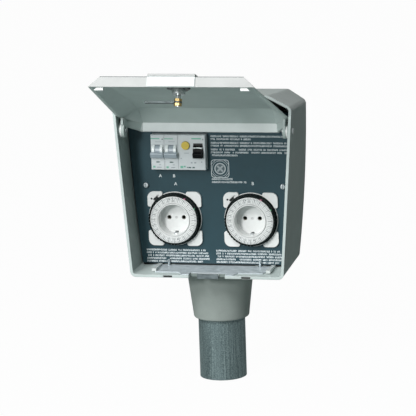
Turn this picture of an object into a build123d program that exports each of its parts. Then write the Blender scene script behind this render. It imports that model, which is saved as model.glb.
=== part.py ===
from build123d import *
import os
from math import atan2, cos, degrees, radians, sin, tan

# Car heater outlet on a post: cast housing with a hinged lid, a front panel with two timer
# sockets, and modular breakers on a rail. Sizes are in millimetres. X runs to the right, Y to
# the back and Z up. The origin is the centre of the post's cut lower end.

# Fits and gaps shared by several pieces
running_fit = 0.08
slide_gap = 0.3
panel_gap = 1.2

# Post and collar
post_diameter = 60.3
post_wall = 3.2
post_bare = 79.0
post_held = 60.0
post_seat_cut = 0.6
post_seat_lead = 3.5
post_fit = 0.35
collar_height = 67.0
collar_foot_radius = 35.5
collar_head_radius = 43.6
collar_ledge = 24.0
collar_stop_gap = 1.0
grub_radius = 4.0
grub_length = 9.0
bolt_radius = 3.0
bolt_circle = 37.0
bolt_grip = 12.0
bolt_head = 3.5

# Housing, with the underside of its front edge as the seat
housing_front = -78.0
housing_depth = 112.0
housing_wall = 3.4
floor_half = (98.3, 97.6)
floor_rise = (0.0, 3.5)
shoulder_half = (114.2, 111.5)
shoulder_height = (217.6, 209.0)
roof_inset = (29.7, 22.2)
roof_rise = (15.4, 14.4)
side_bulge = (0.3, 3.0)
floor_corner = 7.5
cable_hole = 22.0
cord_notch_half = 23.4
cord_notch_depth = 11.0
drain_slot = 11.5
drain_slot_height = 2.4
drain_slot_rise = 0.3
drain_slot_x = 50.3
drain_slot_depth = 8.0
drain_plug_sunk = 0.5

# Hinge
hinge_y = -65.0
hinge_height = 186.0
hinge_pin_radius = 3.0
hinge_boss_radius = 9.0
hinge_boss_height = 4.67
hinge_washer = 2.0
hinge_washer_radius = 8.5
ear_radius = 9.0
ear_thickness = 3.6
rivet_radius = 4.2
rivet_proud = 1.6
lid_open_angle = 112.0

# Front panel
panel_front = -30.0
panel_thickness = 2.0
panel_foot = 6.8
panel_top = 205.0
panel_screw_x = (-86.0, 91.5)
panel_screw_height = 109.3
panel_screw_radius = 2.5
panel_screw_head = 3.4
panel_screw_proud = 3.6
panel_screw_length = 20.0
screw_slot = (1.1, 1.4)
panel_boss_radius = 6.5
stop_pin_x = 59.4
stop_pin_radius = 2.0
stop_pin_height = 8.5
stop_lug_height = 14.0
stop_lug_depth = 6.0
stop_lug_width = 14.0

# Floor plate, its clips and the lock strike
plate_thickness = 1.2
plate_front = 1.4
tongue_half = 33.7
tongue_root_half = 37.7
tongue_length = 10.6
plate_front_half = 69.7
plate_step = 14.0
plate_step_half = 72.6
plate_rear_half = 80.0
clip_width = 5.6
clip_length = 35.0
clip_height = 3.6
clip_x = (-71.0, 76.5)
strike_half = 13.5
strike_thickness = 2.0
strike_slot = 3.9
strike_reach = 24.0
strike_below_plate = 0.6
edging_thickness = 2.0

# Modular devices on the rail
module = 17.6
module_gap = 0.1
row_left = -75.2
row_height = 153.7
nose_proud = 12.0
nose_height = 44.6
body_height = 82.0
window_gap = 0.5
window_foot_gap = 1.3
shoulder_back = 0.4
rail_boss_length = 4.6
rail_height = 35.0
rail_depth = 7.5
rail_sheet = 1.0
rail_flange = 4.2
rail_half = 92.0
rail_screw_x = 84.0
rail_boss_radius = 7.0
pivot_behind_nose = 5.5
pivot_above_row = 1.5
drum_radius = 9.6
drum_groove = 0.8
drum_rib = 3.6
lever_width = 13.8
paddle_width = 16.4
paddle_start = 8.2
lever_reach = 13.0
lever_thickness = 7.0
lever_swing = 24.0
lever_axle_radius = 1.5
lever_axle_stub = 0.8
residual_lever_width = 12.0
latch_width = 12.0
latch_length = 12.0
residual_lever_x = -14.0
button_x = -30.0
button_above_row = 9.2
button_radius = 5.25
button_proud = 2.4
button_travel = 1.8
button_depth = 6.0

# Timers with their earthed sockets
timer_x = 49.4
timer_height = 66.3
base_side = 70.0
base_corner = 8.0
base_thickness = 3.0
base_notch_half = 15.3
base_notch_depth = 5.0
base_pad_round = 2.5
base_disc_radius = 34.7
base_disc_thickness = 1.0
ring_radius = 32.6
ring_foot_radius = 33.9
ring_gap = 0.3
ring_front = 10.5
ring_web = 2.0
tappet_count = 48
tappet_slot = 0.9
tappet_depth = 1.6
dial_radius = 30.25
dial_front = 11.0
sleeve_radius = 21.1
sleeve_front = 11.3
well_radius = 19.7
well_depth = 17.6
well_floor = 3.0
pin_spacing = 19.0
pin_hole_radius = 2.75
contact_outer = 3.2
contact_inner = 2.45
contact_length = 18.0
case_side = 58.0
case_corner = 7.0
case_depth = 42.0
clip_strip_width = 3.8
clip_strip_sheet = 0.7
switch_angle = 130.0
switch_circle = 35.9
switch_length = 6.0
switch_width = 2.4
switch_travel = 3.0
switch_proud = 2.2
switch_slot_depth = 1.8
reset_hole_angle = 139.0
reset_hole_circle = 39.2
reset_hole_radius = 1.2

# Terminals and earth stud
terminal_left = 16.0
terminal_pitch = 8.0
terminal_count = 6
terminal_height = 42.0
terminal_gap = 2.5
earth_stud_radius = 3.0
earth_stud_height = 40.0
earth_stud_length = 20.0
earth_boss_length = 12.0

# Lid, in its own directions: t runs down from the hinge axis and n outward when it is closed
lid_rim = 14.0
lid_wall = 3.0
lid_foot_t = 184.5
lid_foot_over = 2.7
lid_foot_depth = 13.0
lid_foot_inset = 1.2
lid_knee_t = 20.0
lid_knee_over = 2.4
lid_crease_t = 4.0
lid_crease_over = 1.4
lid_crease_n = 30.9
lid_face_over = 2.8
lid_top_t = -28.0
lid_top_over = 4.2
lid_top_n = 17.6
neck_foot_t = 12.0
neck_corner_t = 2.0
neck_top_t = -32.0
neck_edge_n = 4.6
neck_join_n = 15.4
grip_half = 29.0
grip_proud = 3.0
grip_flange_proud = 1.2
grip_top_t = 118.0
grip_groove = 0.6
bumper_half = (83.5, 94.4)
bumper_width = 5.0
bumper_depth = 6.0
bumper_proud = 3.2
pocket_x = 16.0
pocket_t = 163.0
pocket_width = 11.0
pocket_length = 24.0
pocket_depth = 2.4

# Lock in the lid
lock_t = 143.5
lock_barrel_radius = 8.0
lock_head_radius = 10.0
lock_head_height = 1.6
lock_barrel_end_n = 14.0
lock_plug_radius = 5.6
lock_spindle_radius = 3.0
lock_nut_radius = 12.5
lock_nut_height = 4.0
brass_nut_width = 8.4
brass_nut_height = 3.3
lever_plate = 1.8
lever_plate_n = 3.4
lever_bar_width = 5.0
lever_length = 40.5
key_slot = (1.2, 6.0)

# Heights and planes that follow from the sizes above
seat_z = post_bare + collar_height
housing_rear = housing_front + housing_depth
hinge_z = seat_z + hinge_height
row_z = seat_z + row_height
timer_z = seat_z + timer_height
panel_back = panel_front + panel_thickness
nose_front = panel_front - nose_proud
floor_slope = degrees(atan2(floor_rise[1] - floor_rise[0], housing_depth))
rear_wall_inside = housing_rear - housing_wall
rail_base = rear_wall_inside - rail_boss_length
rail_front = rail_base - rail_depth
terminal_front = panel_back + terminal_gap
post_seat_radius = post_diameter / 2 - post_seat_cut
roof_half = (shoulder_half[0] - roof_inset[0], shoulder_half[1] - roof_inset[1])
roof_height = (shoulder_height[0] + roof_rise[0], shoulder_height[1] + roof_rise[1])
stop_pin_y = panel_front - stop_pin_radius - 0.25
os.makedirs("parts", exist_ok=True)


def save(piece, label):
    piece.part.label = label
    export_step(piece.part, f"parts/{label}.step")


def floor_top(y):
    """Height of the housing's inner floor at the distance y."""
    share = (y - housing_front) / housing_depth
    return seat_z + housing_wall + floor_rise[0] + (floor_rise[1] - floor_rise[0]) * share


def housing_half(y, z):
    """Outer half width of the housing on its straight side line, at the place y, z."""
    share = (y - housing_front) / housing_depth
    foot = floor_half[0] + (floor_half[1] - floor_half[0]) * share
    head = shoulder_half[0] + (shoulder_half[1] - shoulder_half[0]) * share
    tall = shoulder_height[0] + (shoulder_height[1] - shoulder_height[0]) * share
    return foot + (head - foot) * (z - seat_z) / tall


# Widths of the hinge and the lid that follow the housing's
hinge_boss_face = housing_half(hinge_y, hinge_z) - hinge_boss_height
ear_face = hinge_boss_face - hinge_washer - 0.2
neck_half = ear_face
lid_foot_half = floor_half[0] + lid_foot_over
lid_knee_half = hinge_boss_face + lid_knee_over
lid_crease_half = hinge_boss_face + lid_crease_over
lid_face_half = roof_half[0] + lid_face_over
lid_top_half = roof_half[0] + lid_top_over


def housing_outline(y, inset=0.0):
    """Section of the housing across Y: flat floor, bowed sides, sloping shoulders, flat roof."""
    share = (y - housing_front) / housing_depth

    def between(pair):
        return pair[0] + (pair[1] - pair[0]) * share

    foot = (between(floor_half), seat_z + between(floor_rise))
    shoulder = (between(shoulder_half), seat_z + between(shoulder_height))
    roof = (between(roof_half), seat_z + between(roof_height))
    bow = (
        (foot[0] + shoulder[0]) / 2 + between(side_bulge),
        (foot[1] + shoulder[1]) / 2,
    )
    with BuildSketch(Plane.XZ.offset(-y)) as outline:
        with BuildLine():
            Line((-foot[0], foot[1]), foot)
            ThreePointArc(foot, bow, shoulder)
            Line(shoulder, roof)
            Line(roof, (-roof[0], roof[1]))
            Line((-roof[0], roof[1]), (-shoulder[0], shoulder[1]))
            ThreePointArc(
                (-shoulder[0], shoulder[1]), (-bow[0], bow[1]), (-foot[0], foot[1])
            )
        make_face()
        fillet(outline.vertices().group_by(Axis.Z)[0], floor_corner)
        if inset:
            offset(amount=-inset, kind=Kind.INTERSECTION)
    return outline.sketch


# Post tube, galvanised steel, cut square at its lower end and turned down where it is held
post_radius = post_diameter / 2
with BuildPart() as post_tube:
    with BuildSketch(Plane.XY):
        Circle(post_radius)
    extrude(amount=post_bare - post_seat_lead)
    with BuildSketch(Plane.XY.offset(post_bare - post_seat_lead)):
        Circle(post_seat_radius)
    extrude(amount=post_held + post_seat_lead)
    with BuildSketch(Plane.XY):
        Circle(post_radius - post_wall)
    extrude(amount=post_bare + post_held, mode=Mode.SUBTRACT)
save(post_tube, "post_tube")

# Collar, a tapered casting that stands on the post and carries the housing
collar_bore = post_seat_radius + post_fit
grub_height = post_bare + 22.0
grub_angles = (55.0, 125.0)
bolt_places = [
    (side * bolt_circle * cos(radians(turn)), bolt_circle * sin(radians(turn)))
    for side in (-1, 1)
    for turn in (-20.0, 20.0)
]
with BuildPart() as post_collar:
    with BuildSketch(Plane.XZ):
        with BuildLine():
            Polyline(
                (collar_bore, post_bare),
                (collar_foot_radius, post_bare),
                (collar_head_radius, seat_z),
                (collar_ledge, seat_z),
                (collar_ledge, post_bare + post_held + collar_stop_gap),
                (collar_bore, post_bare + post_held + collar_stop_gap),
                close=True,
            )
        make_face()
    revolve(axis=Axis.Z)
    fillet(post_collar.edges().group_by(Axis.Z)[0].sort_by(SortBy.LENGTH)[-1], 2.5)
    for angle in grub_angles:
        with Locations(
            Plane(
                origin=(0, 0, grub_height),
                z_dir=(cos(radians(angle)), sin(radians(angle)), 0),
            )
        ):
            Cylinder(
                grub_radius,
                collar_head_radius,
                align=(Align.CENTER, Align.CENTER, Align.MIN),
                mode=Mode.SUBTRACT,
            )
    with Locations(Plane.XY.offset(seat_z)):
        with Locations(bolt_places):
            Hole(bolt_radius, depth=bolt_grip + 1.0)
save(post_collar, "post_collar")

# Two grub screws that grip the post from behind
with BuildPart() as collar_grub_screws:
    for angle in grub_angles:
        with BuildSketch(
            Plane(
                origin=(
                    (post_seat_radius + running_fit) * cos(radians(angle)),
                    (post_seat_radius + running_fit) * sin(radians(angle)),
                    grub_height,
                ),
                z_dir=(cos(radians(angle)), sin(radians(angle)), 0),
            )
        ):
            Circle(grub_radius - running_fit)
        extrude(amount=grub_length)
        with BuildSketch(
            Plane(
                origin=(
                    (post_seat_radius + grub_length) * cos(radians(angle)),
                    (post_seat_radius + grub_length) * sin(radians(angle)),
                    grub_height,
                ),
                z_dir=(cos(radians(angle)), sin(radians(angle)), 0),
            )
        ):
            RegularPolygon(grub_radius * 0.5, 6)
        extrude(amount=-grub_radius, mode=Mode.SUBTRACT)
save(collar_grub_screws, "collar_grub_screws")

# Housing, one aluminium casting, open at the front
screw_places = [(place, seat_z + panel_screw_height) for place in panel_screw_x]
with BuildPart() as housing:
    loft(sections=[housing_outline(housing_front), housing_outline(housing_rear)], ruled=True)
    fillet(housing.faces().sort_by(Axis.Y)[-1].edges(), 3.0)
    with BuildSketch(Plane.XY.offset(seat_z)):
        Circle(collar_head_radius + 3.0)
    extrude(amount=floor_rise[1] + 1.0)
    loft(
        sections=[
            housing_outline(housing_front, housing_wall),
            housing_outline(rear_wall_inside, housing_wall),
        ],
        ruled=True,
        mode=Mode.SUBTRACT,
    )
    # Bosses on the rear wall for the panel, the rail and the earth stud
    with BuildSketch(Plane.XZ.offset(-panel_back)):
        with Locations(*screw_places):
            Circle(panel_boss_radius)
    extrude(amount=-(rear_wall_inside + 1.0 - panel_back))
    with BuildSketch(Plane.XZ.offset(-rail_base)):
        with Locations((-rail_screw_x, row_z), (rail_screw_x, row_z)):
            Circle(rail_boss_radius)
    extrude(amount=-(rear_wall_inside + 1.0 - rail_base))
    with BuildSketch(Plane.XZ.offset(-(rear_wall_inside - earth_boss_length))):
        with Locations((0, seat_z + earth_stud_height)):
            Circle(rail_boss_radius)
    extrude(amount=-(earth_boss_length + 1.0))
    # Lugs that the panel's lower edge leans on
    for side in (-1, 1):
        with BuildSketch(Plane.XZ.offset(-panel_back)):
            with Locations((side * stop_pin_x, seat_z + housing_wall)):
                Rectangle(
                    stop_lug_width,
                    stop_lug_height,
                    align=(Align.CENTER, Align.MIN),
                )
        extrude(amount=-stop_lug_depth)
    # Flat hinge bosses inside both side walls
    for side in (-1, 1):
        with BuildSketch(Plane(origin=(side * hinge_boss_face, hinge_y, hinge_z), z_dir=(side, 0, 0))):
            Circle(hinge_boss_radius)
        extrude(amount=housing_half(hinge_y, hinge_z) - hinge_boss_face - 1.0)
    with Locations(Plane(origin=(0, hinge_y, hinge_z), z_dir=(1, 0, 0))):
        Cylinder(hinge_pin_radius, 3 * hinge_boss_face, mode=Mode.SUBTRACT)
    # Flat seats for the rivet heads on the outside
    for side in (-1, 1):
        with BuildSketch(
            Plane(
                origin=(side * (housing_half(hinge_y, hinge_z) - 0.05), hinge_y, hinge_z),
                z_dir=(side, 0, 0),
            )
        ):
            Circle(rivet_radius + 0.4)
        extrude(amount=rivet_proud, mode=Mode.SUBTRACT)
    # Cable hole and bolt holes in the floor
    with Locations((0, 0, seat_z)):
        Cylinder(cable_hole, 6 * housing_wall, mode=Mode.SUBTRACT)
    with Locations(Plane.XY.offset(seat_z)):
        with Locations(bolt_places):
            Cylinder(bolt_radius, 6 * housing_wall, mode=Mode.SUBTRACT)
    # Screw holes in the bosses
    with Locations(Plane.XZ.offset(-panel_back)):
        with Locations(*screw_places):
            Hole(panel_screw_radius, depth=panel_screw_length + 2.0)
    with Locations(Plane.XZ.offset(-rail_base)):
        with Locations((-rail_screw_x, row_z), (rail_screw_x, row_z)):
            Hole(panel_screw_radius, depth=rear_wall_inside - rail_base)
    with Locations(Plane.XZ.offset(-(rear_wall_inside - earth_boss_length))):
        with Locations((0, seat_z + earth_stud_height)):
            Hole(earth_stud_radius, depth=earth_boss_length)
    # Holes for the stop pins, the cord notch and two blind slots in the front edge
    with Locations(Plane.XY.offset(seat_z)):
        with Locations(
            (-stop_pin_x, stop_pin_y),
            (stop_pin_x, stop_pin_y),
        ):
            Cylinder(stop_pin_radius, 6 * housing_wall, mode=Mode.SUBTRACT)
    with BuildSketch(Plane.XZ.offset(-housing_front)):
        with Locations((0, seat_z)):
            Rectangle(2 * cord_notch_half, 3 * housing_wall)
    extrude(amount=-cord_notch_depth, mode=Mode.SUBTRACT)
    with BuildSketch(Plane.XZ.offset(-housing_front)):
        with Locations(
            (-drain_slot_x, seat_z + drain_slot_rise),
            (drain_slot_x, seat_z + drain_slot_rise),
        ):
            Rectangle(drain_slot, drain_slot_height, align=(Align.CENTER, Align.MIN))
    extrude(amount=-drain_slot_depth, mode=Mode.SUBTRACT)
save(housing, "housing")

# Rubber plugs in the two blind slots
with BuildPart() as drain_plugs:
    with BuildSketch(Plane.XZ.offset(-(housing_front + drain_plug_sunk))):
        for side in (-1, 1):
            with Locations(
                (side * drain_slot_x, seat_z + drain_slot_rise + drain_slot_height / 2)
            ):
                Rectangle(drain_slot - 0.1, drain_slot_height - 0.1)
    extrude(amount=-(drain_slot_depth - drain_plug_sunk - 0.2))
    fillet(drain_plugs.edges().group_by(Axis.Y)[0], 0.6)
save(drain_plugs, "drain_plugs")

# Rubber grommet round the supply cable in the housing floor
with BuildPart() as cable_grommet:
    with BuildSketch(Plane.XZ):
        with BuildLine():
            Polyline(
                (cable_hole * 0.55, seat_z + 1.0),
                (cable_hole - 0.1, seat_z + 1.0),
                (cable_hole - 0.1, floor_top(cable_hole) + 0.2),
                (cable_hole + 4.0, floor_top(cable_hole) + 0.2),
                (cable_hole + 3.0, floor_top(cable_hole) + 3.2),
                (cable_hole * 0.55, floor_top(cable_hole) + 6.0),
                close=True,
            )
        make_face()
    revolve(axis=Axis.Z)
save(cable_grommet, "cable_grommet")

# Four hexagon bolts from inside the housing into the collar
with BuildPart() as collar_bolts:
    with BuildSketch(Plane.XY.offset(floor_top(bolt_circle * sin(radians(20.0))) + 0.6)):
        with Locations(bolt_places):
            RegularPolygon(bolt_radius * 1.8, 6)
    extrude(amount=bolt_head)
    with BuildSketch(Plane.XY.offset(seat_z - bolt_grip)):
        with Locations(bolt_places):
            Circle(bolt_radius - running_fit)
    extrude(amount=bolt_grip + housing_wall + 3.0)
save(collar_bolts, "collar_bolts")

# Hinge pins, riveted through the side walls, and their nylon washers
for label, side in (("left", -1), ("right", 1)):
    with BuildPart() as hinge_pin:
        wall_face = housing_half(hinge_y, hinge_z)
        with BuildSketch(
            Plane(origin=(side * (ear_face - ear_thickness - 0.3), hinge_y, hinge_z), z_dir=(side, 0, 0))
        ):
            Circle(hinge_pin_radius - 0.02)
        extrude(amount=wall_face - ear_face + ear_thickness + 1.0)
        with BuildSketch(
            Plane(origin=(side * (ear_face - ear_thickness - 0.3), hinge_y, hinge_z), z_dir=(side, 0, 0))
        ):
            Circle(hinge_pin_radius + 1.2)
        extrude(amount=-1.4)
        with BuildSketch(Plane(origin=(side * wall_face, hinge_y, hinge_z), z_dir=(side, 0, 0))):
            Circle(rivet_radius)
        extrude(amount=rivet_proud)
        fillet(hinge_pin.faces().sort_by(Axis.X)[-1 if side > 0 else 0].edges(), 0.9)
    save(hinge_pin, f"hinge_pin_{label}")

with BuildPart() as hinge_washers:
    for side in (-1, 1):
        with BuildSketch(
            Plane(origin=(side * (hinge_boss_face - hinge_washer), hinge_y, hinge_z), z_dir=(side, 0, 0))
        ):
            Circle(hinge_washer_radius)
            Circle(hinge_pin_radius, mode=Mode.SUBTRACT)
        extrude(amount=hinge_washer)
save(hinge_washers, "hinge_washers")

# Floor plate with its tongue, notched for the car leads
floor_plane = Plane(
    origin=(0, housing_front, floor_top(housing_front)),
    x_dir=(1, 0, 0),
    z_dir=(0, -sin(radians(floor_slope)), cos(radians(floor_slope))),
)
plate_front_edge = plate_front + tongue_length
plate_back_edge = panel_front - housing_front - 0.6
with BuildPart() as floor_plate:
    with BuildSketch(floor_plane):
        with BuildLine():
            Polyline(
                (0, plate_front),
                (tongue_half, plate_front),
                (tongue_root_half, plate_front_edge),
                (plate_front_half, plate_front_edge),
                (plate_step_half, plate_front_edge + plate_step),
                (plate_rear_half, plate_back_edge),
                (0, plate_back_edge),
                close=True,
            )
        make_face()
        mirror(about=Plane.YZ)
        with Locations((0, plate_front)):
            Rectangle(2 * cord_notch_half, 2 * (cord_notch_depth - plate_front), mode=Mode.SUBTRACT)
        with Locations(
            (-stop_pin_x, stop_pin_y - housing_front),
            (stop_pin_x, stop_pin_y - housing_front),
        ):
            Circle(stop_pin_radius + 0.3, mode=Mode.SUBTRACT)
    extrude(amount=plate_thickness)
save(floor_plate, "floor_plate")

# Two clips that hold the floor plate down at its rear corners
with BuildPart() as floor_clips:
    for place in clip_x:
        with BuildSketch(
            Plane(
                origin=(place, panel_front - 0.8, floor_top(panel_front) + plate_thickness),
                x_dir=(0, -1, -tan(radians(floor_slope))),
                z_dir=(-1, 0, 0),
            )
        ):
            with BuildLine():
                Polyline(
                    (0, 0),
                    (clip_length, 0),
                    (clip_length, clip_height),
                    (clip_length - 3.0, clip_height),
                    (0, clip_height * 0.45),
                    close=True,
                )
            make_face()
        extrude(amount=clip_width / 2, both=True)
save(floor_clips, "floor_clips")

# Two steel pins that keep the panel's lower edge back
with BuildPart() as panel_stop_pins:
    with BuildSketch(Plane.XY.offset(seat_z + 0.4)):
        with Locations((-stop_pin_x, stop_pin_y), (stop_pin_x, stop_pin_y)):
            Circle(stop_pin_radius - running_fit)
    extrude(amount=floor_top(stop_pin_y) + stop_pin_height - seat_z)
    fillet(panel_stop_pins.edges().group_by(Axis.Z)[-1], 0.8)
save(panel_stop_pins, "panel_stop_pins")

# Lock strike, an angle under the floor whose upright stands in the cord notch
strike_back = housing_front + cord_notch_depth - strike_slot
strike_top = floor_top(strike_back) + plate_thickness - strike_below_plate
strike_plane = Plane(
    origin=(0, housing_front, seat_z),
    x_dir=(1, 0, 0),
    z_dir=(0, -sin(radians(floor_slope)), cos(radians(floor_slope))),
)
with BuildPart() as lock_strike:
    with BuildSketch(strike_plane):
        with Locations((0, strike_back - strike_thickness - housing_front)):
            Rectangle(2 * strike_half, strike_reach, align=(Align.CENTER, Align.MIN))
    extrude(amount=-strike_thickness)
    with BuildSketch(Plane.XZ.offset(-strike_back)):
        with Locations((0, seat_z - 1.0)):
            Rectangle(
                2 * strike_half, strike_top - seat_z + 1.0, align=(Align.CENTER, Align.MIN)
            )
    extrude(amount=strike_thickness)
save(lock_strike, "lock_strike")

# Rubber edging on the notch's rear edge, on both sides of the strike
edging_back = housing_front + cord_notch_depth
edging_start = strike_half + slide_gap
with BuildPart() as notch_edging:
    with BuildSketch(Plane.XZ.offset(-edging_back)):
        for side in (-1, 1):
            with Locations((side * (edging_start + cord_notch_half - 0.05) / 2, seat_z - 0.4)):
                Rectangle(
                    cord_notch_half - 0.05 - edging_start,
                    floor_top(edging_back) - seat_z + 0.3,
                    align=(Align.CENTER, Align.MIN),
                )
    extrude(amount=edging_thickness)
    fillet(notch_edging.edges().filter_by(Axis.X).group_by(Axis.Y)[0], 0.7)
save(notch_edging, "notch_edging")

# Front panel, a painted plate with openings for the devices and the two timers
timer_places = ((-timer_x, timer_z), (timer_x, timer_z))
row_width = 4 * module
with BuildPart() as front_panel:
    extrude(
        to_extrude=housing_outline(panel_front, housing_wall + panel_gap),
        amount=-panel_thickness,
    )
    with BuildSketch(Plane.XZ.offset(-panel_front)):
        with Locations((0, seat_z)):
            Rectangle(4 * neck_half, 2 * panel_foot)
        with Locations((0, seat_z + panel_top)):
            Rectangle(4 * neck_half, panel_top, align=(Align.CENTER, Align.MIN))
        with Locations((row_left + row_width / 2, row_z + (window_gap - window_foot_gap) / 2)):
            Rectangle(row_width + 2 * window_gap, nose_height + window_gap + window_foot_gap)
        with Locations(*timer_places):
            Circle(sleeve_radius + slide_gap)
        with Locations(*screw_places):
            Circle(panel_screw_radius + 0.2)
    extrude(amount=-panel_thickness, mode=Mode.SUBTRACT)
save(front_panel, "front_panel")

# Two captive screws that hold the panel to its bosses
with BuildPart() as panel_screws:
    with BuildSketch(Plane.XZ.offset(-panel_front)):
        with Locations(*screw_places):
            Circle(panel_screw_head)
    extrude(amount=panel_screw_proud)
    fillet(panel_screws.edges().group_by(Axis.Y)[0], 0.9)
    with BuildSketch(Plane.XZ.offset(-panel_front)):
        with Locations(*screw_places):
            Circle(panel_screw_radius - running_fit)
    extrude(amount=-panel_screw_length)
    with BuildSketch(Plane.XZ.offset(-(panel_front - panel_screw_proud))):
        with Locations(*screw_places):
            Rectangle(screw_slot[0], 2 * panel_screw_head)
    extrude(amount=-screw_slot[1], mode=Mode.SUBTRACT)
save(panel_screws, "panel_screws")

# Top hat rail for the modular devices, and the two screws that hold it
rail_places = ((-rail_screw_x, row_z), (rail_screw_x, row_z))
flange_top = rail_height / 2
web_top = flange_top - rail_flange
with BuildPart() as din_rail:
    with BuildSketch(Plane(origin=(-rail_half, 0, row_z), x_dir=(0, 1, 0), z_dir=(1, 0, 0))):
        with BuildLine():
            Polyline(
                (rail_front, flange_top),
                (rail_front + rail_sheet, flange_top),
                (rail_front + rail_sheet, web_top + rail_sheet),
                (rail_base, web_top + rail_sheet),
                (rail_base, 0),
                (rail_base - rail_sheet, 0),
                (rail_base - rail_sheet, web_top),
                (rail_front, web_top),
                close=True,
            )
        make_face()
        mirror(about=Plane.XZ)
    extrude(amount=2 * rail_half)
    with Locations(Plane.XZ.offset(-rail_base)):
        with Locations(*rail_places):
            Cylinder(panel_screw_radius + 0.2, 3 * rail_sheet, mode=Mode.SUBTRACT)
save(din_rail, "din_rail")

rail_screw_head = rail_base - rail_sheet
with BuildPart() as rail_screws:
    with BuildSketch(Plane.XZ.offset(-rail_screw_head)):
        with Locations(*rail_places):
            Circle(panel_screw_head + 1.0)
    extrude(amount=2.4)
    with BuildSketch(Plane.XZ.offset(-rail_screw_head)):
        with Locations(*rail_places):
            Circle(panel_screw_radius - running_fit)
    extrude(amount=-(rear_wall_inside - rail_screw_head))
save(rail_screws, "rail_screws")


# Places that the levers and their seats share
pivot_y = nose_front + pivot_behind_nose
pivot_z = row_z + pivot_above_row
seat_gap = slide_gap


def device_body(left, modules, lever_x, width_of_lever):
    """Moulded body of a modular device: nose through the panel, shoulders behind, rail foot."""
    back = panel_back + shoulder_back
    hook = rail_front + rail_sheet + 0.1
    with BuildPart() as body:
        with BuildSketch(Plane(origin=(left, 0, row_z), x_dir=(0, 1, 0), z_dir=(1, 0, 0))):
            with BuildLine():
                Polyline(
                    (nose_front, -nose_height / 2),
                    (back, -nose_height / 2),
                    (back, 3.0 - body_height / 2),
                    (back + 3.0, -body_height / 2),
                    (rail_front, -body_height / 2),
                    (rail_front, flange_top),
                    (hook, flange_top),
                    (hook, flange_top - 1.2),
                    (hook + 1.8, flange_top - 1.2),
                    (hook + 1.8, flange_top + 4.0),
                    (rail_front, flange_top + 6.0),
                    (rail_front, body_height / 2),
                    (back + 3.0, body_height / 2),
                    (back, body_height / 2 - 3.0),
                    (back, nose_height / 2),
                    (nose_front, nose_height / 2),
                    close=True,
                )
            make_face()
        extrude(amount=modules * module - module_gap)
        chamfer(body.faces().sort_by(Axis.Y)[0].edges(), 0.4)
        # Round seat for the lever's drum with bores for its axle
        with Locations(Plane(origin=(lever_x, pivot_y, pivot_z), z_dir=(1, 0, 0))):
            Cylinder(drum_radius + seat_gap, width_of_lever + 2 * seat_gap, mode=Mode.SUBTRACT)
            Cylinder(
                lever_axle_radius + running_fit,
                width_of_lever + 2 * lever_axle_stub + 0.2,
                mode=Mode.SUBTRACT,
            )
        # Wire entries at both ends and screw holes in both shoulders, one for each pole
        for pole in range(modules):
            pole_x = left + (pole + 0.5) * module
            for end in (-1, 1):
                with Locations((pole_x, back + 16.0, row_z + end * body_height / 2)):
                    Box(8.0, 7.0, 12.0, mode=Mode.SUBTRACT)
                shoulder_z = row_z + end * (nose_height + body_height) / 4
                with Locations(Plane(origin=(pole_x, back, shoulder_z), z_dir=(0, -1, 0))):
                    Hole(2.8, depth=12.0)
    return body


def device_lever(lever_x, width, paddle):
    """Toggle lever at off: a grooved drum on a short axle, and a broad paddle that points down."""
    side_plane = Plane(
        origin=(lever_x - width / 2, pivot_y, pivot_z), x_dir=(0, 1, 0), z_dir=(1, 0, 0)
    )
    with BuildPart() as toggle:
        with BuildSketch(side_plane):
            with Locations(Location((0, 0, 0), (0, 0, 180.0 + lever_swing))):
                RectangleRounded(2 * lever_reach, lever_thickness, 1.4)
                Rectangle(
                    lever_reach,
                    lever_thickness,
                    align=(Align.MAX, Align.CENTER),
                    mode=Mode.SUBTRACT,
                )
            Circle(drum_radius)
        extrude(amount=width)
        with BuildSketch(side_plane.offset(drum_rib)):
            Circle(drum_radius)
            Circle(drum_radius - drum_groove, mode=Mode.SUBTRACT)
        extrude(amount=width - 2 * drum_rib, mode=Mode.SUBTRACT)
        with BuildSketch(side_plane.offset(-(paddle - width) / 2)):
            with Locations(Location((0, 0, 0), (0, 0, 180.0 + lever_swing))):
                with Locations(((paddle_start + lever_reach) / 2, 0)):
                    RectangleRounded(lever_reach - paddle_start, lever_thickness, 1.4)
        extrude(amount=paddle)
        with BuildSketch(side_plane.offset(-lever_axle_stub)):
            Circle(lever_axle_radius)
        extrude(amount=width + 2 * lever_axle_stub)
    return toggle


breaker_middles = [row_left + (place + 0.5) * module - module_gap / 2 for place in range(2)]
breaker_a_body = device_body(row_left, 1, breaker_middles[0], lever_width)
save(breaker_a_body, "breaker_a_body")
breaker_b_body = device_body(row_left + module, 1, breaker_middles[1], lever_width)
save(breaker_b_body, "breaker_b_body")
for label, middle in (("a", breaker_middles[0]), ("b", breaker_middles[1])):
    save(device_lever(middle, lever_width, paddle_width), f"breaker_{label}_lever")

# Residual current device, two modules wide, with its test button
residual_body = device_body(row_left + 2 * module, 2, residual_lever_x, residual_lever_width)
button_z = row_z + button_above_row
with residual_body:
    with Locations(Plane(origin=(button_x, nose_front, button_z), z_dir=(0, -1, 0))):
        Hole(button_radius + 0.2, depth=button_depth + button_travel + 0.6)
save(residual_body, "residual_device_body")
residual_lever = device_lever(residual_lever_x, residual_lever_width, residual_lever_width)
save(residual_lever, "residual_device_lever")

with BuildPart() as test_button:
    with BuildSketch(Plane.XZ.offset(-nose_front - button_depth)):
        with Locations((button_x, button_z)):
            Circle(button_radius)
    extrude(amount=button_depth + button_proud)
    fillet(test_button.edges().group_by(Axis.Y)[0], 0.7)
save(test_button, "test_button")

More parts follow.
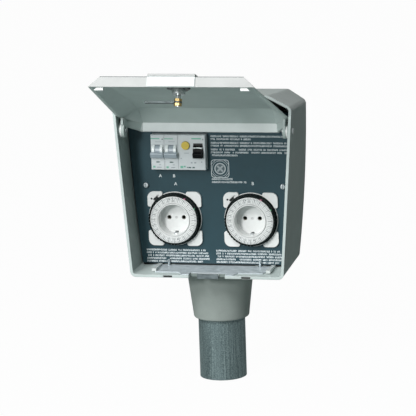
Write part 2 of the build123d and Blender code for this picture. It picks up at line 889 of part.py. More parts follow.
# Spring latches that hold the three devices on the rail's lower edge
with BuildPart() as rail_latches:
    for left, modules in ((0, 1), (1, 1), (2, 2)):
        middle = row_left + (left + modules / 2) * module
        with BuildSketch(
            Plane(origin=(middle - latch_width / 2, 0, row_z), x_dir=(0, 1, 0), z_dir=(1, 0, 0))
        ):
            with BuildLine():
                Polyline(
                    (rail_front, -flange_top - 0.1),
                    (rail_front + rail_sheet + 0.1, -flange_top - 0.1),
                    (rail_front + rail_sheet + 0.1, -flange_top + 1.2),
                    (rail_front + rail_sheet + 2.0, -flange_top + 1.2),
                    (rail_front + rail_sheet + 2.0, -flange_top - latch_length),
                    (rail_front, -flange_top - latch_length),
                    close=True,
                )
            make_face()
        extrude(amount=latch_width)
save(rail_latches, "rail_latches")

# Rail terminals for the supply and the outgoing wires
terminal_middle = rail_front + (terminal_front - rail_front) * 0.6
with BuildPart() as rail_terminals:
    for place in range(terminal_count):
        with BuildSketch(
            Plane(
                origin=(terminal_left + place * terminal_pitch, 0, row_z),
                x_dir=(0, 1, 0),
                z_dir=(1, 0, 0),
            )
        ):
            with BuildLine():
                Polyline(
                    (rail_front, -terminal_height / 2),
                    (terminal_middle, -terminal_height / 2),
                    (terminal_front, -terminal_height / 3),
                    (terminal_front, terminal_height / 3),
                    (terminal_middle, terminal_height / 2),
                    (rail_front, terminal_height / 2),
                    close=True,
                )
            make_face()
        extrude(amount=terminal_pitch - 0.3)
        with Locations(
            Plane(
                origin=(
                    terminal_left + (place + 0.5) * terminal_pitch - 0.15,
                    terminal_front,
                    row_z,
                ),
                z_dir=(0, -1, 0),
            )
        ):
            with GridLocations(1, terminal_height / 3, 1, 2):
                Hole(2.0, depth=12.0)
save(rail_terminals, "rail_terminals")

# Earth stud in its boss on the rear wall, with two nuts
stud_z = seat_z + earth_stud_height
boss_face = rear_wall_inside - earth_boss_length
with BuildPart() as earth_stud:
    with BuildSketch(Plane.XZ.offset(-(rear_wall_inside - 1.0))):
        with Locations((0, stud_z)):
            Circle(earth_stud_radius - running_fit)
    extrude(amount=earth_stud_length + earth_boss_length - 1.0)
    chamfer(earth_stud.edges().group_by(Axis.Y)[0], 0.7)
save(earth_stud, "earth_stud")

with BuildPart() as earth_nuts:
    for distance in (0.0, 7.0):
        with BuildSketch(Plane.XZ.offset(-(boss_face - distance))):
            with Locations((0, stud_z)):
                RegularPolygon(earth_stud_radius * 1.9, 6)
                Circle(earth_stud_radius, mode=Mode.SUBTRACT)
        extrude(amount=5.0)
save(earth_nuts, "earth_nuts")


# Two timers, each a socket in the middle of a turning dial
def timer_pieces(centre_x):
    """The nine pieces of one timer, by name. Distances run forward from the panel's front."""
    face = Plane(origin=(centre_x, panel_front, timer_z), x_dir=(1, 0, 0), z_dir=(0, -1, 0))
    pieces = {}
    ring_back = base_disc_thickness + ring_gap
    floor_front = sleeve_front - well_depth
    floor_back = floor_front - well_floor
    slot_place = (
        switch_circle * cos(radians(switch_angle)),
        switch_circle * sin(radians(switch_angle)),
    )

    # Base plate with four corner pads round a sunk disc
    with BuildPart() as base:
        with BuildSketch(face) as pads:
            RectangleRounded(base_side, base_side, base_corner)
            with PolarLocations(base_side / 2, 4):
                Rectangle(2 * base_notch_depth, 2 * base_notch_half, mode=Mode.SUBTRACT)
            ends = [
                corner
                for corner in pads.vertices()
                if max(abs(corner.X), abs(corner.Y)) > base_side / 2 - 0.1
                and min(abs(corner.X), abs(corner.Y)) < base_notch_half + 0.1
            ]
            fillet(ends, base_pad_round)
        extrude(amount=base_thickness)
        with BuildSketch(face):
            Circle(ring_foot_radius + ring_gap)
        extrude(amount=base_thickness, mode=Mode.SUBTRACT)
        with BuildSketch(face):
            Circle(base_disc_radius)
        extrude(amount=base_disc_thickness)
        with BuildSketch(face):
            Circle(sleeve_radius + 0.25)
        extrude(amount=base_disc_thickness, mode=Mode.SUBTRACT)
        with BuildSketch(face.offset(base_thickness - switch_slot_depth)):
            with Locations(Location((*slot_place, 0), (0, 0, switch_angle))):
                Rectangle(switch_width + 0.3, switch_length + switch_travel + 0.4)
        extrude(amount=2 * switch_slot_depth, mode=Mode.SUBTRACT)
        with Locations(face.offset(base_thickness)):
            with Locations(
                (
                    reset_hole_circle * cos(radians(reset_hole_angle)),
                    reset_hole_circle * sin(radians(reset_hole_angle)),
                )
            ):
                Hole(reset_hole_radius, depth=base_thickness - 0.8)
    pieces["base"] = base

    # Tappet ring on a wider foot, slotted into tappets round its rim
    with BuildPart() as ring:
        with BuildSketch(face.offset(ring_back)):
            Circle(ring_foot_radius)
        extrude(amount=ring_web)
        with BuildSketch(face.offset(ring_back)):
            Circle(ring_radius)
        extrude(amount=ring_front - ring_back)
        with BuildSketch(face.offset(ring_back)):
            Circle(sleeve_radius + 0.5)
        extrude(amount=ring_front, mode=Mode.SUBTRACT)
        with BuildSketch(face.offset(ring_back + ring_web)):
            Circle(dial_radius + 0.1)
        extrude(amount=ring_front, mode=Mode.SUBTRACT)
        with BuildSketch(face.offset(ring_back + ring_web)):
            with PolarLocations(ring_radius, tappet_count):
                Rectangle(2 * tappet_depth, tappet_slot)
        extrude(amount=ring_front, mode=Mode.SUBTRACT)
    pieces["tappet_ring"] = ring

    # Dial that lies in the ring
    with BuildPart() as dial:
        with BuildSketch(face.offset(ring_back + ring_web)):
            Circle(dial_radius)
            Circle(sleeve_radius + 0.25, mode=Mode.SUBTRACT)
        extrude(amount=dial_front - ring_back - ring_web)
        chamfer(dial.edges().group_by(Axis.Y)[0], 0.5)
    pieces["dial"] = dial

    # Socket insert: a round well with two pin holes and slots for the earth clips
    with BuildPart() as socket:
        with BuildSketch(Plane(origin=face.origin, x_dir=(1, 0, 0), z_dir=(0, 0, -1))):
            with BuildLine():
                Polyline(
                    (0, floor_back),
                    (sleeve_radius, floor_back),
                    (sleeve_radius, sleeve_front - 0.6),
                    (sleeve_radius - 0.5, sleeve_front),
                    (well_radius + 0.4, sleeve_front),
                    (well_radius, sleeve_front - 0.5),
                    (well_radius, floor_front),
                    (0, floor_front),
                    close=True,
                )
            make_face()
        revolve(axis=Axis((centre_x, panel_front, timer_z), (0, 1, 0)))
        with BuildSketch(face.offset(floor_back)):
            with GridLocations(pin_spacing, 1, 2, 1):
                Circle(pin_hole_radius)
            with GridLocations(1, 2 * (well_radius - 1.1), 1, 2):
                Rectangle(clip_strip_width + 0.4, 2.0)
        extrude(amount=well_floor, mode=Mode.SUBTRACT)
        with BuildSketch(face.offset(floor_front)):
            SlotOverall(3.6, 2.2)
        extrude(amount=-0.5, mode=Mode.SUBTRACT)
    pieces["socket"] = socket

    # Sleeve contacts behind the pin holes
    with BuildPart() as contacts:
        with BuildSketch(face.offset(floor_back)):
            with GridLocations(pin_spacing, 1, 2, 1):
                Circle(contact_outer)
                Circle(contact_inner, mode=Mode.SUBTRACT)
        extrude(amount=-contact_length)
    pieces["contacts"] = contacts

    # Two sprung earth clips at the top and bottom of the well
    with BuildPart() as clips:
        for end in (-1, 1):
            with BuildSketch(
                Plane(
                    origin=(centre_x - clip_strip_width / 2, panel_front, timer_z),
                    x_dir=(0, -1, 0),
                    z_dir=(1, 0, 0),
                )
            ):
                outer = -end * (well_radius - 0.1)
                inner = -end * (well_radius - 0.1 - clip_strip_sheet)
                crest = -end * (well_radius - 1.9)
                with BuildLine():
                    Polyline(
                        (floor_back - 5.0, outer),
                        (4.0, outer),
                        (4.0, inner),
                        (1.6, inner),
                        (-0.8, crest),
                        (-3.2, inner),
                        (floor_back - 5.0, inner),
                        close=True,
                    )
                make_face()
            extrude(amount=clip_strip_width)
    pieces["earth_clips"] = clips

    # Frame behind the panel round the socket
    with BuildPart() as case_frame:
        with BuildSketch(face.offset(-panel_thickness)):
            RectangleRounded(case_side, case_side, case_corner)
            Circle(sleeve_radius + 0.2, mode=Mode.SUBTRACT)
        extrude(amount=panel_thickness + floor_back)
    pieces["case_frame"] = case_frame

    # Case behind the frame, with the timer's works sealed inside
    with BuildPart() as case:
        with BuildSketch(face.offset(floor_back)):
            RectangleRounded(case_side, case_side, case_corner)
        extrude(amount=-(case_depth + panel_thickness + floor_back))
        chamfer(case.edges().group_by(Axis.Y)[-1], 1.5)
        with BuildSketch(face.offset(floor_back)):
            with GridLocations(pin_spacing, 1, 2, 1):
                Circle(contact_outer + 0.1)
            with GridLocations(1, 2 * (well_radius - 0.6), 1, 2):
                Rectangle(clip_strip_width + 0.4, 1.6)
        extrude(amount=-contact_length - 1.0, mode=Mode.SUBTRACT)
    pieces["case"] = case

    # Override switch, a slider beside the dial
    with BuildPart() as switch:
        with BuildSketch(face.offset(base_thickness - switch_slot_depth)):
            with Locations(Location((*slot_place, 0), (0, 0, switch_angle))):
                with Locations((0, switch_travel / 2)):
                    Rectangle(switch_width, switch_length)
        extrude(amount=switch_slot_depth + switch_proud)
        fillet(switch.faces().sort_by(Axis.Y)[0].edges(), 0.4)
    pieces["switch"] = switch
    return pieces


for label, centre in (("a", -timer_x), ("b", timer_x)):
    for name, piece in timer_pieces(centre).items():
        save(piece, f"timer_{label}_{name}")

# Lid: directions of its own plane at rest, when it stands open
open_turn = radians(lid_open_angle)
outward = Vector(0, -cos(open_turn), sin(open_turn))
downward = Vector(0, -sin(open_turn), -cos(open_turn))
hinge_point = Vector(0, hinge_y, hinge_z)
lid_plane = Plane(origin=hinge_point, x_dir=(1, 0, 0), z_dir=outward)
face_slope = (lid_crease_n - lid_rim - lid_foot_depth) / (lid_foot_t - lid_crease_t)


def face_n(t):
    """Outer face of the lid above the hinge axis, at the distance t down from it."""
    return lid_crease_n - (t - lid_crease_t) * face_slope


def lid_cross(t, n=0.0, tilt=0.0):
    """Plane across the lid at t, with its own Y along the outward direction."""
    normal = downward * cos(radians(tilt)) + outward * sin(radians(tilt))
    return Plane(
        origin=hinge_point + downward * t + outward * n, x_dir=(1, 0, 0), z_dir=normal
    )


def tray_section(t, foot_half, face_half, height, tilt=0.0, sunk=0.0):
    """Trapezium across the tray, from its rim to its face. It can reach below the rim."""
    spread = (foot_half - face_half) / height * sunk
    with BuildSketch(lid_cross(t, lid_rim, tilt)) as section:
        with BuildLine():
            Polyline(
                (-foot_half - spread, -sunk),
                (foot_half + spread, -sunk),
                (face_half, height),
                (-face_half, height),
                close=True,
            )
        make_face()
    return section.sketch


def tray_sections(wall, sunk):
    """The four sections that the tray is lofted through, set in by a wall thickness."""
    side = 1.25 * wall
    top = 0.55 * wall
    foot_tilt = degrees(atan2(lid_foot_inset, lid_foot_depth))
    return [
        tray_section(
            lid_foot_t - wall,
            lid_foot_half - side,
            lid_face_half - top,
            lid_foot_depth - wall,
            foot_tilt,
            sunk,
        ),
        tray_section(
            lid_knee_t,
            lid_knee_half - side,
            lid_face_half - top,
            face_n(lid_knee_t) - lid_rim - wall,
            sunk=sunk,
        ),
        tray_section(
            lid_crease_t,
            lid_crease_half - side,
            lid_face_half - top,
            lid_crease_n - lid_rim - wall,
            sunk=sunk,
        ),
        tray_section(
            lid_top_t + wall,
            lid_top_half - wall,
            lid_face_half + 1.2 - wall,
            lid_top_n - lid_rim - 0.8 * wall,
            sunk=sunk,
        ),
    ]


def neck_section(n, top_t, wall, foot_t):
    """Outline of the neck that tucks under the hood, in a plane parallel to the rim."""
    with BuildSketch(lid_plane.offset(n)) as section:
        with BuildLine():
            Polyline(
                (neck_half - wall, -foot_t),
                (neck_half - wall, -neck_corner_t),
                (lid_top_half - 0.4 - 0.7 * wall, -top_t - wall),
                (-(lid_top_half - 0.4 - 0.7 * wall), -top_t - wall),
                (-(neck_half - wall), -neck_corner_t),
                (-(neck_half - wall), -foot_t),
                close=True,
            )
        make_face()
    return section.sketch


neck_slope = (lid_top_t - neck_top_t) / (neck_join_n - neck_edge_n)
grip_edge = -lid_foot_t + lid_foot_inset - grip_flange_proud
with BuildPart() as lid:
    loft(sections=tray_sections(0.0, 0.0), ruled=True)
    loft(
        sections=[
            neck_section(neck_join_n, lid_top_t, 0.0, neck_foot_t),
            neck_section(neck_edge_n, neck_top_t, 0.0, neck_foot_t),
        ],
        ruled=True,
    )
    # Raised grip round the lock, over the face and the lower flange
    with BuildSketch(Plane(origin=hinge_point, x_dir=-downward, z_dir=(1, 0, 0))):
        with BuildLine():
            Polyline(
                (-lid_foot_t - grip_flange_proud, lid_rim + 0.6),
                (grip_edge, lid_rim + lid_foot_depth - grip_groove),
                (grip_edge + grip_groove, lid_rim + lid_foot_depth),
                (grip_edge, lid_rim + lid_foot_depth + grip_groove),
                (grip_edge, face_n(lid_foot_t) + grip_proud - grip_groove),
                (grip_edge + grip_groove, face_n(lid_foot_t) + grip_proud),
                (-grip_top_t, face_n(grip_top_t) + grip_proud),
                (-grip_top_t + 3.0, face_n(grip_top_t)),
                (-grip_top_t + 3.0, face_n(grip_top_t) - lid_wall),
                (-lid_foot_t + 2 * lid_wall, lid_rim + 0.6),
                close=True,
            )
        make_face()
    extrude(amount=grip_half, both=True)
    loft(sections=tray_sections(lid_wall, 1.0), ruled=True, mode=Mode.SUBTRACT)
    loft(
        sections=[
            neck_section(lid_rim + 0.6, lid_top_t - neck_slope * 0.8, lid_wall, 3 * neck_foot_t),
            neck_section(neck_edge_n - 1.0, neck_top_t - neck_slope, lid_wall, 3 * neck_foot_t),
        ],
        ruled=True,
        mode=Mode.SUBTRACT,
    )
    # Hinge ears
    for side in (-1, 1):
        with BuildSketch(
            Plane(
                origin=(side * (ear_face - ear_thickness), hinge_y, hinge_z),
                x_dir=-downward,
                z_dir=(side, 0, 0),
            )
        ):
            Circle(ear_radius)
            with Locations((0, side * lid_rim / 2)):
                Rectangle(2 * ear_radius, lid_rim)
        extrude(amount=ear_thickness)
    with Locations(Plane(origin=hinge_point, z_dir=(1, 0, 0))):
        Cylinder(hinge_pin_radius + running_fit, 3 * neck_half, mode=Mode.SUBTRACT)
    # Hole for the lock, and a shallow pocket beside it on the inside of the grip
    with Locations(lid_plane.offset(face_n(lock_t))):
        with Locations((0, -lock_t)):
            Cylinder(lock_barrel_radius + 0.1, 8 * lid_wall, mode=Mode.SUBTRACT)
    with BuildSketch(lid_plane.offset(face_n(lock_t) - 2 * lid_wall)):
        with Locations((pocket_x, -pocket_t)):
            RectangleRounded(pocket_width, pocket_length, 1.5)
    extrude(amount=lid_wall + pocket_depth, mode=Mode.SUBTRACT)
save(lid, "lid")

# White rubber bumpers in the lower corners of the lid
with BuildPart() as lid_bumpers:
    for side in (-1, 1):
        with BuildSketch(lid_cross(lid_foot_t - lid_wall - 0.6 - bumper_width)):
            with BuildLine():
                Polyline(
                    (side * bumper_half[0], lid_rim - bumper_proud),
                    (side * bumper_half[1], lid_rim - bumper_proud),
                    (side * (bumper_half[1] - bumper_depth), lid_rim - bumper_proud + bumper_depth),
                    (side * bumper_half[0], lid_rim - bumper_proud + bumper_depth),
                    close=True,
                )
            make_face()
        extrude(amount=bumper_width)
save(lid_bumpers, "lid_bumpers")

# Lock: barrel and its nut in the lid, then the plug with the lever and brass nuts
lock_plane = Plane(
    origin=hinge_point + downward * lock_t, x_dir=(1, 0, 0), z_dir=outward
)
grip_face = face_n(lock_t) + grip_proud
inner_face = face_n(lock_t) - lid_wall
with BuildPart() as lock_barrel:
    with BuildSketch(lock_plane.offset(lock_barrel_end_n)):
        Circle(lock_barrel_radius)
    extrude(amount=grip_face + 0.6 - lock_barrel_end_n)
    with BuildSketch(lock_plane.offset(grip_face + 0.3)):
        Circle(lock_head_radius)
    extrude(amount=lock_head_height)
    with BuildSketch(lock_plane.offset(lock_barrel_end_n)):
        Circle(lock_plug_radius + running_fit)
    extrude(amount=2 * grip_face, mode=Mode.SUBTRACT)
save(lock_barrel, "lock_barrel")

with BuildPart() as lock_barrel_nut:
    with BuildSketch(lock_plane.offset(inner_face - 0.4)):
        RegularPolygon(lock_nut_radius, 6, major_radius=False)
        Circle(lock_barrel_radius + 0.02, mode=Mode.SUBTRACT)
    extrude(amount=-lock_nut_height)
save(lock_barrel_nut, "lock_barrel_nut")

lever_front = lever_plate_n + lever_plate
with BuildPart() as lock_plug:
    with BuildSketch(lock_plane.offset(lock_barrel_end_n)):
        Circle(lock_plug_radius)
    extrude(amount=grip_face + lock_head_height - 0.4 - lock_barrel_end_n)
    with BuildSketch(lock_plane.offset(lever_plate_n - brass_nut_height - 1.2)):
        Circle(lock_spindle_radius)
    extrude(amount=lock_barrel_end_n - lever_plate_n + brass_nut_height + 1.2)
    with BuildSketch(lock_plane.offset(grip_face + lock_head_height - 0.4)):
        Rectangle(key_slot[0], key_slot[1])
    extrude(amount=-4.0, mode=Mode.SUBTRACT)
save(lock_plug, "lock_plug")

with BuildPart() as lock_lever:
    with BuildSketch(lock_plane.offset(lever_plate_n)):
        with Locations((-lever_length / 2, 0)):
            Rectangle(lever_length, lever_bar_width)
        Circle(lever_bar_width)
        Circle(lock_spindle_radius + 0.02, mode=Mode.SUBTRACT)
    extrude(amount=lever_plate)
save(lock_lever, "lock_lever")

with BuildPart() as lock_brass_nuts:
    for foot in (lever_front + 0.1, lever_plate_n - brass_nut_height - 0.1):
        with BuildSketch(lock_plane.offset(foot)):
            RegularPolygon(brass_nut_width / 2, 6, major_radius=False)
            Circle(lock_spindle_radius + 0.02, mode=Mode.SUBTRACT)
        extrude(amount=brass_nut_height)
save(lock_brass_nuts, "lock_brass_nuts")
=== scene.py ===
from math import cos, pi, radians, sin

import bpy
from mathutils import Matrix, Vector


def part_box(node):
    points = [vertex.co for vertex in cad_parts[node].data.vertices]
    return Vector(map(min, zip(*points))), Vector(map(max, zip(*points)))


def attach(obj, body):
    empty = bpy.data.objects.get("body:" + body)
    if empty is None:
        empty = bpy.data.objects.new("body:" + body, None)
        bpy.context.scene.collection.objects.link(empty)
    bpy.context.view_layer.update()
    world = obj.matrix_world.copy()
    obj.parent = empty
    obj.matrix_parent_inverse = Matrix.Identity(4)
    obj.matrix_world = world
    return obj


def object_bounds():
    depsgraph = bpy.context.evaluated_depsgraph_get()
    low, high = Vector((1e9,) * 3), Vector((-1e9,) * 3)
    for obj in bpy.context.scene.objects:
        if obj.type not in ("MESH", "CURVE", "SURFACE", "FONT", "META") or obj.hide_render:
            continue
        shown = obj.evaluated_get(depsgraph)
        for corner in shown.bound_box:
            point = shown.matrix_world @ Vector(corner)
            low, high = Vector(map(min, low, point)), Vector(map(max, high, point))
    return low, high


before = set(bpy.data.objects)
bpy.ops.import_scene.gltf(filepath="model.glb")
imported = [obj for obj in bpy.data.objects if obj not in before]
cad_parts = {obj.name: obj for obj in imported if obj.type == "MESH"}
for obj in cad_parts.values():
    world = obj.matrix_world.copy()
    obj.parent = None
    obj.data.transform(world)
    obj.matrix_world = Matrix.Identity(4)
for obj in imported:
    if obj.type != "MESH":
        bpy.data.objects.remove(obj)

# Post: a hot-dip galvanised steel tube that has gone dull outdoors. It is drawn, so faint
# streaks run along it, and the zinc is cloudy. Its foot goes into a sleeve in the ground.
cad_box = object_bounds()
zinc_dark = "384749"
zinc_pale = "8b9c9d"


def paint(code):
    """Linear colour of a hexadecimal paint code."""
    shares = [int(code[place : place + 2], 16) / 255 for place in (0, 2, 4)]
    return [((s + 0.055) / 1.055) ** 2.4 if s > 0.04045 else s / 12.92 for s in shares] + [1.0]


def add_node(tree, kind, inputs=None, **settings):
    """A node in the tree, with its settings and its inputs, which are values or sockets."""
    made = tree.nodes.new(kind)
    for name, value in settings.items():
        setattr(made, name, value)
    for name, value in (inputs or {}).items():
        if isinstance(value, bpy.types.NodeSocket):
            tree.links.new(value, made.inputs[name])
        else:
            made.inputs[name].default_value = value
    return made


def new_effect(name, inputs, outputs):
    """A shader group with named sockets, and its input and output nodes."""
    group = bpy.data.node_groups.new(name, "ShaderNodeTree")
    kinds = {"colour": "NodeSocketColor", "value": "NodeSocketFloat", "vector": "NodeSocketVector"}
    for label, kind, value in inputs:
        socket = group.interface.new_socket(label, in_out="INPUT", socket_type=kinds[kind])
        socket.default_value = value
    for label, kind in outputs:
        group.interface.new_socket(label, in_out="OUTPUT", socket_type=kinds[kind])
    return group, group.nodes.new("NodeGroupInput"), group.nodes.new("NodeGroupOutput")


def use_effect(tree, group, inputs):
    """The group's own node in a material's tree."""
    return add_node(tree, "ShaderNodeGroup", inputs, node_tree=group)


def mix_colours(tree, share, first, second):
    """The output of a mix of two colours."""
    return add_node(
        tree, "ShaderNodeMix", {0: share, 6: first, 7: second}, data_type="RGBA"
    ).outputs[2]


def new_finish(name):
    """A material, its tree and its shader."""
    made = bpy.data.materials.new(name)
    made.use_nodes = True
    return made, made.node_tree, made.node_tree.nodes["Principled BSDF"]


def dress(names, finish):
    """Puts a finish on CAD nodes."""
    for name in names:
        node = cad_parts[name]
        if not node.material_slots:
            node.data.materials.append(finish)
        for place in node.material_slots:
            place.material = finish


def join_up(tree, shader, skin, edges=None, bump=0.3, distance=0.0004):
    """Feeds a skin's colour, roughness and height to the shader, over softened edges."""
    tree.links.new(skin.outputs["Colour"], shader.inputs["Base Color"])
    tree.links.new(skin.outputs["Roughness"], shader.inputs["Roughness"])
    relief = add_node(
        tree,
        "ShaderNodeBump",
        {"Strength": bump, "Distance": distance, "Height": skin.outputs["Height"]},
    )
    if edges:
        tree.links.new(edges.outputs["Normal"], relief.inputs["Normal"])
    tree.links.new(relief.outputs["Normal"], shader.inputs["Normal"])


# Two tones in drawn-out streaks and clouds
streaked, start, end = new_effect(
    "streaked_metal",
    [
        ("Dark", "colour", (0.1, 0.1, 0.1, 1)),
        ("Pale", "colour", (0.5, 0.5, 0.5, 1)),
        ("Stretch", "vector", (1, 1, 1)),
        ("Streak size", "value", 400.0),
        ("Cloud size", "value", 30.0),
        ("Smoothness", "value", 0.4),
    ],
    [("Colour", "colour"), ("Roughness", "value"), ("Height", "value")],
)
place = add_node(streaked, "ShaderNodeTexCoord")
pulled = add_node(
    streaked,
    "ShaderNodeVectorMath",
    {0: place.outputs["Object"], 1: start.outputs["Stretch"]},
    operation="MULTIPLY",
)
lines = add_node(
    streaked,
    "ShaderNodeTexNoise",
    {
        "Vector": pulled.outputs[0],
        "Scale": start.outputs["Streak size"],
        "Detail": 3.0,
        "Roughness": 0.6,
    },
)
clouds = add_node(
    streaked,
    "ShaderNodeTexNoise",
    {"Vector": place.outputs["Object"], "Scale": start.outputs["Cloud size"], "Detail": 4.0},
)
both = add_node(
    streaked,
    "ShaderNodeMath",
    {0: lines.outputs[0], 1: clouds.outputs[0]},
    operation="ADD",
)
share = add_node(
    streaked,
    "ShaderNodeMapRange",
    {"Value": both.outputs[0], "From Min": 0.72, "From Max": 1.3},
)
toned = mix_colours(streaked, share.outputs[0], start.outputs["Dark"], start.outputs["Pale"])
rough = add_node(
    streaked,
    "ShaderNodeMath",
    {0: lines.outputs[0], 1: 0.25, 2: start.outputs["Smoothness"]},
    operation="MULTIPLY_ADD",
)
streaked.links.new(toned, end.inputs["Colour"])
streaked.links.new(rough.outputs[0], end.inputs["Roughness"])
streaked.links.new(lines.outputs[0], end.inputs["Height"])

galvanised, tree, shader = new_finish("galvanised_tube")
skin = use_effect(
    tree,
    streaked,
    {
        "Dark": paint(zinc_dark),
        "Pale": paint(zinc_pale),
        "Stretch": (1.0, 1.0, 0.012),
        "Streak size": 1500.0,
        "Cloud size": 800.0,
        "Smoothness": 0.48,
    },
)
join_up(tree, shader, skin, bump=0.25)
shader.inputs["Metallic"].default_value = 0.9
dress(["post_tube"], galvanised)

# Collar: a tapered aluminium casting, blasted and painted grey, that slides over the tube
# and is held by two grub screws. Four bolts from above tie the housing to it.
cast_grey = "909894"
bolt_zinc = "a7abab"
black_oxide = "1b1d1e"
edge_radius = 0.0011

# Mask of the sharp edges, and a normal that rounds them
worn_edges, start, end = new_effect(
    "worn_edges",
    [("Radius", "value", 0.0008), ("Spread", "value", 0.35)],
    [("Mask", "value"), ("Normal", "vector")],
)
rounded = add_node(worn_edges, "ShaderNodeBevel", {"Radius": start.outputs["Radius"]}, samples=4)
flat = add_node(worn_edges, "ShaderNodeNewGeometry")
turned = add_node(
    worn_edges,
    "ShaderNodeVectorMath",
    {0: rounded.outputs["Normal"], 1: flat.outputs["Normal"]},
    operation="DOT_PRODUCT",
)
mask = add_node(
    worn_edges,
    "ShaderNodeMapRange",
    {
        "Value": turned.outputs["Value"],
        "From Min": 1.0,
        "From Max": 0.6,
        "To Max": start.outputs["Spread"],
    },
)
worn_edges.links.new(mask.outputs[0], end.inputs["Mask"])
worn_edges.links.new(rounded.outputs["Normal"], end.inputs["Normal"])

# Paint on a blasted casting, clouded and pale at worn edges
cast_skin, start, end = new_effect(
    "cast_skin",
    [
        ("Colour", "colour", (0.5, 0.5, 0.5, 1)),
        ("Edge", "value", 0.0),
        ("Clouding", "value", 0.08),
        ("Smoothness", "value", 0.5),
    ],
    [("Colour", "colour"), ("Roughness", "value"), ("Height", "value")],
)
place = add_node(cast_skin, "ShaderNodeTexCoord")
blasted = add_node(
    cast_skin,
    "ShaderNodeTexNoise",
    {"Vector": place.outputs["Object"], "Scale": 1100.0, "Detail": 3.0, "Roughness": 0.65},
)
waves = add_node(
    cast_skin,
    "ShaderNodeTexNoise",
    {"Vector": place.outputs["Object"], "Scale": 26.0, "Detail": 5.0, "Roughness": 0.6},
)
swing = add_node(
    cast_skin,
    "ShaderNodeMapRange",
    {"Value": waves.outputs[0], "From Min": 0.3, "From Max": 0.7, "To Min": -1.0, "To Max": 1.0},
)
shaded = add_node(
    cast_skin,
    "ShaderNodeMath",
    {0: swing.outputs[0], 1: start.outputs["Clouding"], 2: 1.0},
    operation="MULTIPLY_ADD",
)
grained = add_node(
    cast_skin,
    "ShaderNodeMath",
    {0: blasted.outputs[0], 1: 0.12, 2: -0.06},
    operation="MULTIPLY_ADD",
)
tone = add_node(
    cast_skin,
    "ShaderNodeMath",
    {0: shaded.outputs[0], 1: grained.outputs[0]},
    operation="ADD",
)
body = add_node(
    cast_skin,
    "ShaderNodeVectorMath",
    {0: start.outputs["Colour"], "Scale": tone.outputs[0]},
    operation="SCALE",
)
pale = mix_colours(cast_skin, start.outputs["Edge"], body.outputs[0], (0.75, 0.79, 0.79, 1))
rough = add_node(
    cast_skin,
    "ShaderNodeMath",
    {0: blasted.outputs[0], 1: 0.16, 2: start.outputs["Smoothness"]},
    operation="MULTIPLY_ADD",
)
cast_skin.links.new(pale, end.inputs["Colour"])
cast_skin.links.new(rough.outputs[0], end.inputs["Roughness"])
cast_skin.links.new(blasted.outputs[0], end.inputs["Height"])


def cast_finish(name, code, clouding=0.07, smoothness=0.42):
    """Painted casting with a blasted grain and paler edges."""
    made, tree, shader = new_finish(name)
    edges = use_effect(tree, worn_edges, {"Radius": edge_radius, "Spread": 0.5})
    skin = use_effect(
        tree,
        cast_skin,
        {
            "Colour": paint(code),
            "Edge": edges.outputs["Mask"],
            "Clouding": clouding,
            "Smoothness": smoothness,
        },
    )
    join_up(tree, shader, skin, edges, bump=0.22, distance=0.0003)
    shader.inputs["Specular IOR Level"].default_value = 0.3
    return made


def turned_finish(name, dark, pale, stretch=(1, 1, 1), smoothness=0.25, metallic=0.9):
    """Bare or plated metal with fine tool lines."""
    made, tree, shader = new_finish(name)
    edges = use_effect(tree, worn_edges, {"Radius": 0.0004})
    skin = use_effect(
        tree,
        streaked,
        {
            "Dark": paint(dark),
            "Pale": paint(pale),
            "Stretch": stretch,
            "Streak size": 900.0,
            "Cloud size": 120.0,
            "Smoothness": smoothness,
        },
    )
    join_up(tree, shader, skin, edges, bump=0.15, distance=0.0002)
    shader.inputs["Metallic"].default_value = metallic
    return made


dress(["post_collar"], cast_finish("collar_paint", cast_grey))
zinc_plate = turned_finish("zinc_plate", "83898a", bolt_zinc, smoothness=0.28)
dress(["collar_bolts", "rail_screws"], zinc_plate)
dress(
    ["collar_grub_screws"],
    turned_finish("black_oxide", black_oxide, "33383a", smoothness=0.35, metallic=0.6),
)

# Housing: one aluminium casting with drafted, slightly bowed walls, painted grey. Its front
# rim is painted paler, and below the floor's top it is painted paler as painted light. A
# rubber grommet in the floor lets the supply cable up through the post.
housing_grey = "98a4a1"
housing_pale_and_painted_light = "bac5c3"
rim_y, floor_z = -0.0774, 0.1531


def maths(tree, operation, *values, clamp=False):
    """The output of a maths node."""
    return add_node(
        tree, "ShaderNodeMath", dict(enumerate(values)), operation=operation, use_clamp=clamp
    ).outputs[0]


def object_axes(tree):
    """The three object coordinates, as outputs by letter."""
    place = add_node(tree, "ShaderNodeTexCoord")
    return add_node(tree, "ShaderNodeSeparateXYZ", {0: place.outputs["Object"]}).outputs


def repaint_where(finish, mask, code):
    """Changes the colour of a casting's paint where the mask is."""
    tree = finish.node_tree
    skin = next(node for node in tree.nodes if getattr(node, "node_tree", None) == cast_skin)
    colour = skin.inputs["Colour"]
    before = colour.links[0].from_socket if colour.links else tuple(colour.default_value)
    tree.links.new(mix_colours(tree, mask, before, paint(code)), colour)


housing_finish = cast_finish("housing_paint", housing_grey, 0.06)
tree = housing_finish.node_tree
axes = object_axes(tree)
# Painted light: paler paint below the floor's top; the front rim is painted paler too
on_rim = maths(tree, "LESS_THAN", axes["Y"], rim_y)
on_floor = maths(tree, "LESS_THAN", axes["Z"], floor_z)
repaint_where(housing_finish, maths(tree, "MAXIMUM", on_rim, on_floor), housing_pale_and_painted_light)
dress(["housing"], housing_finish)

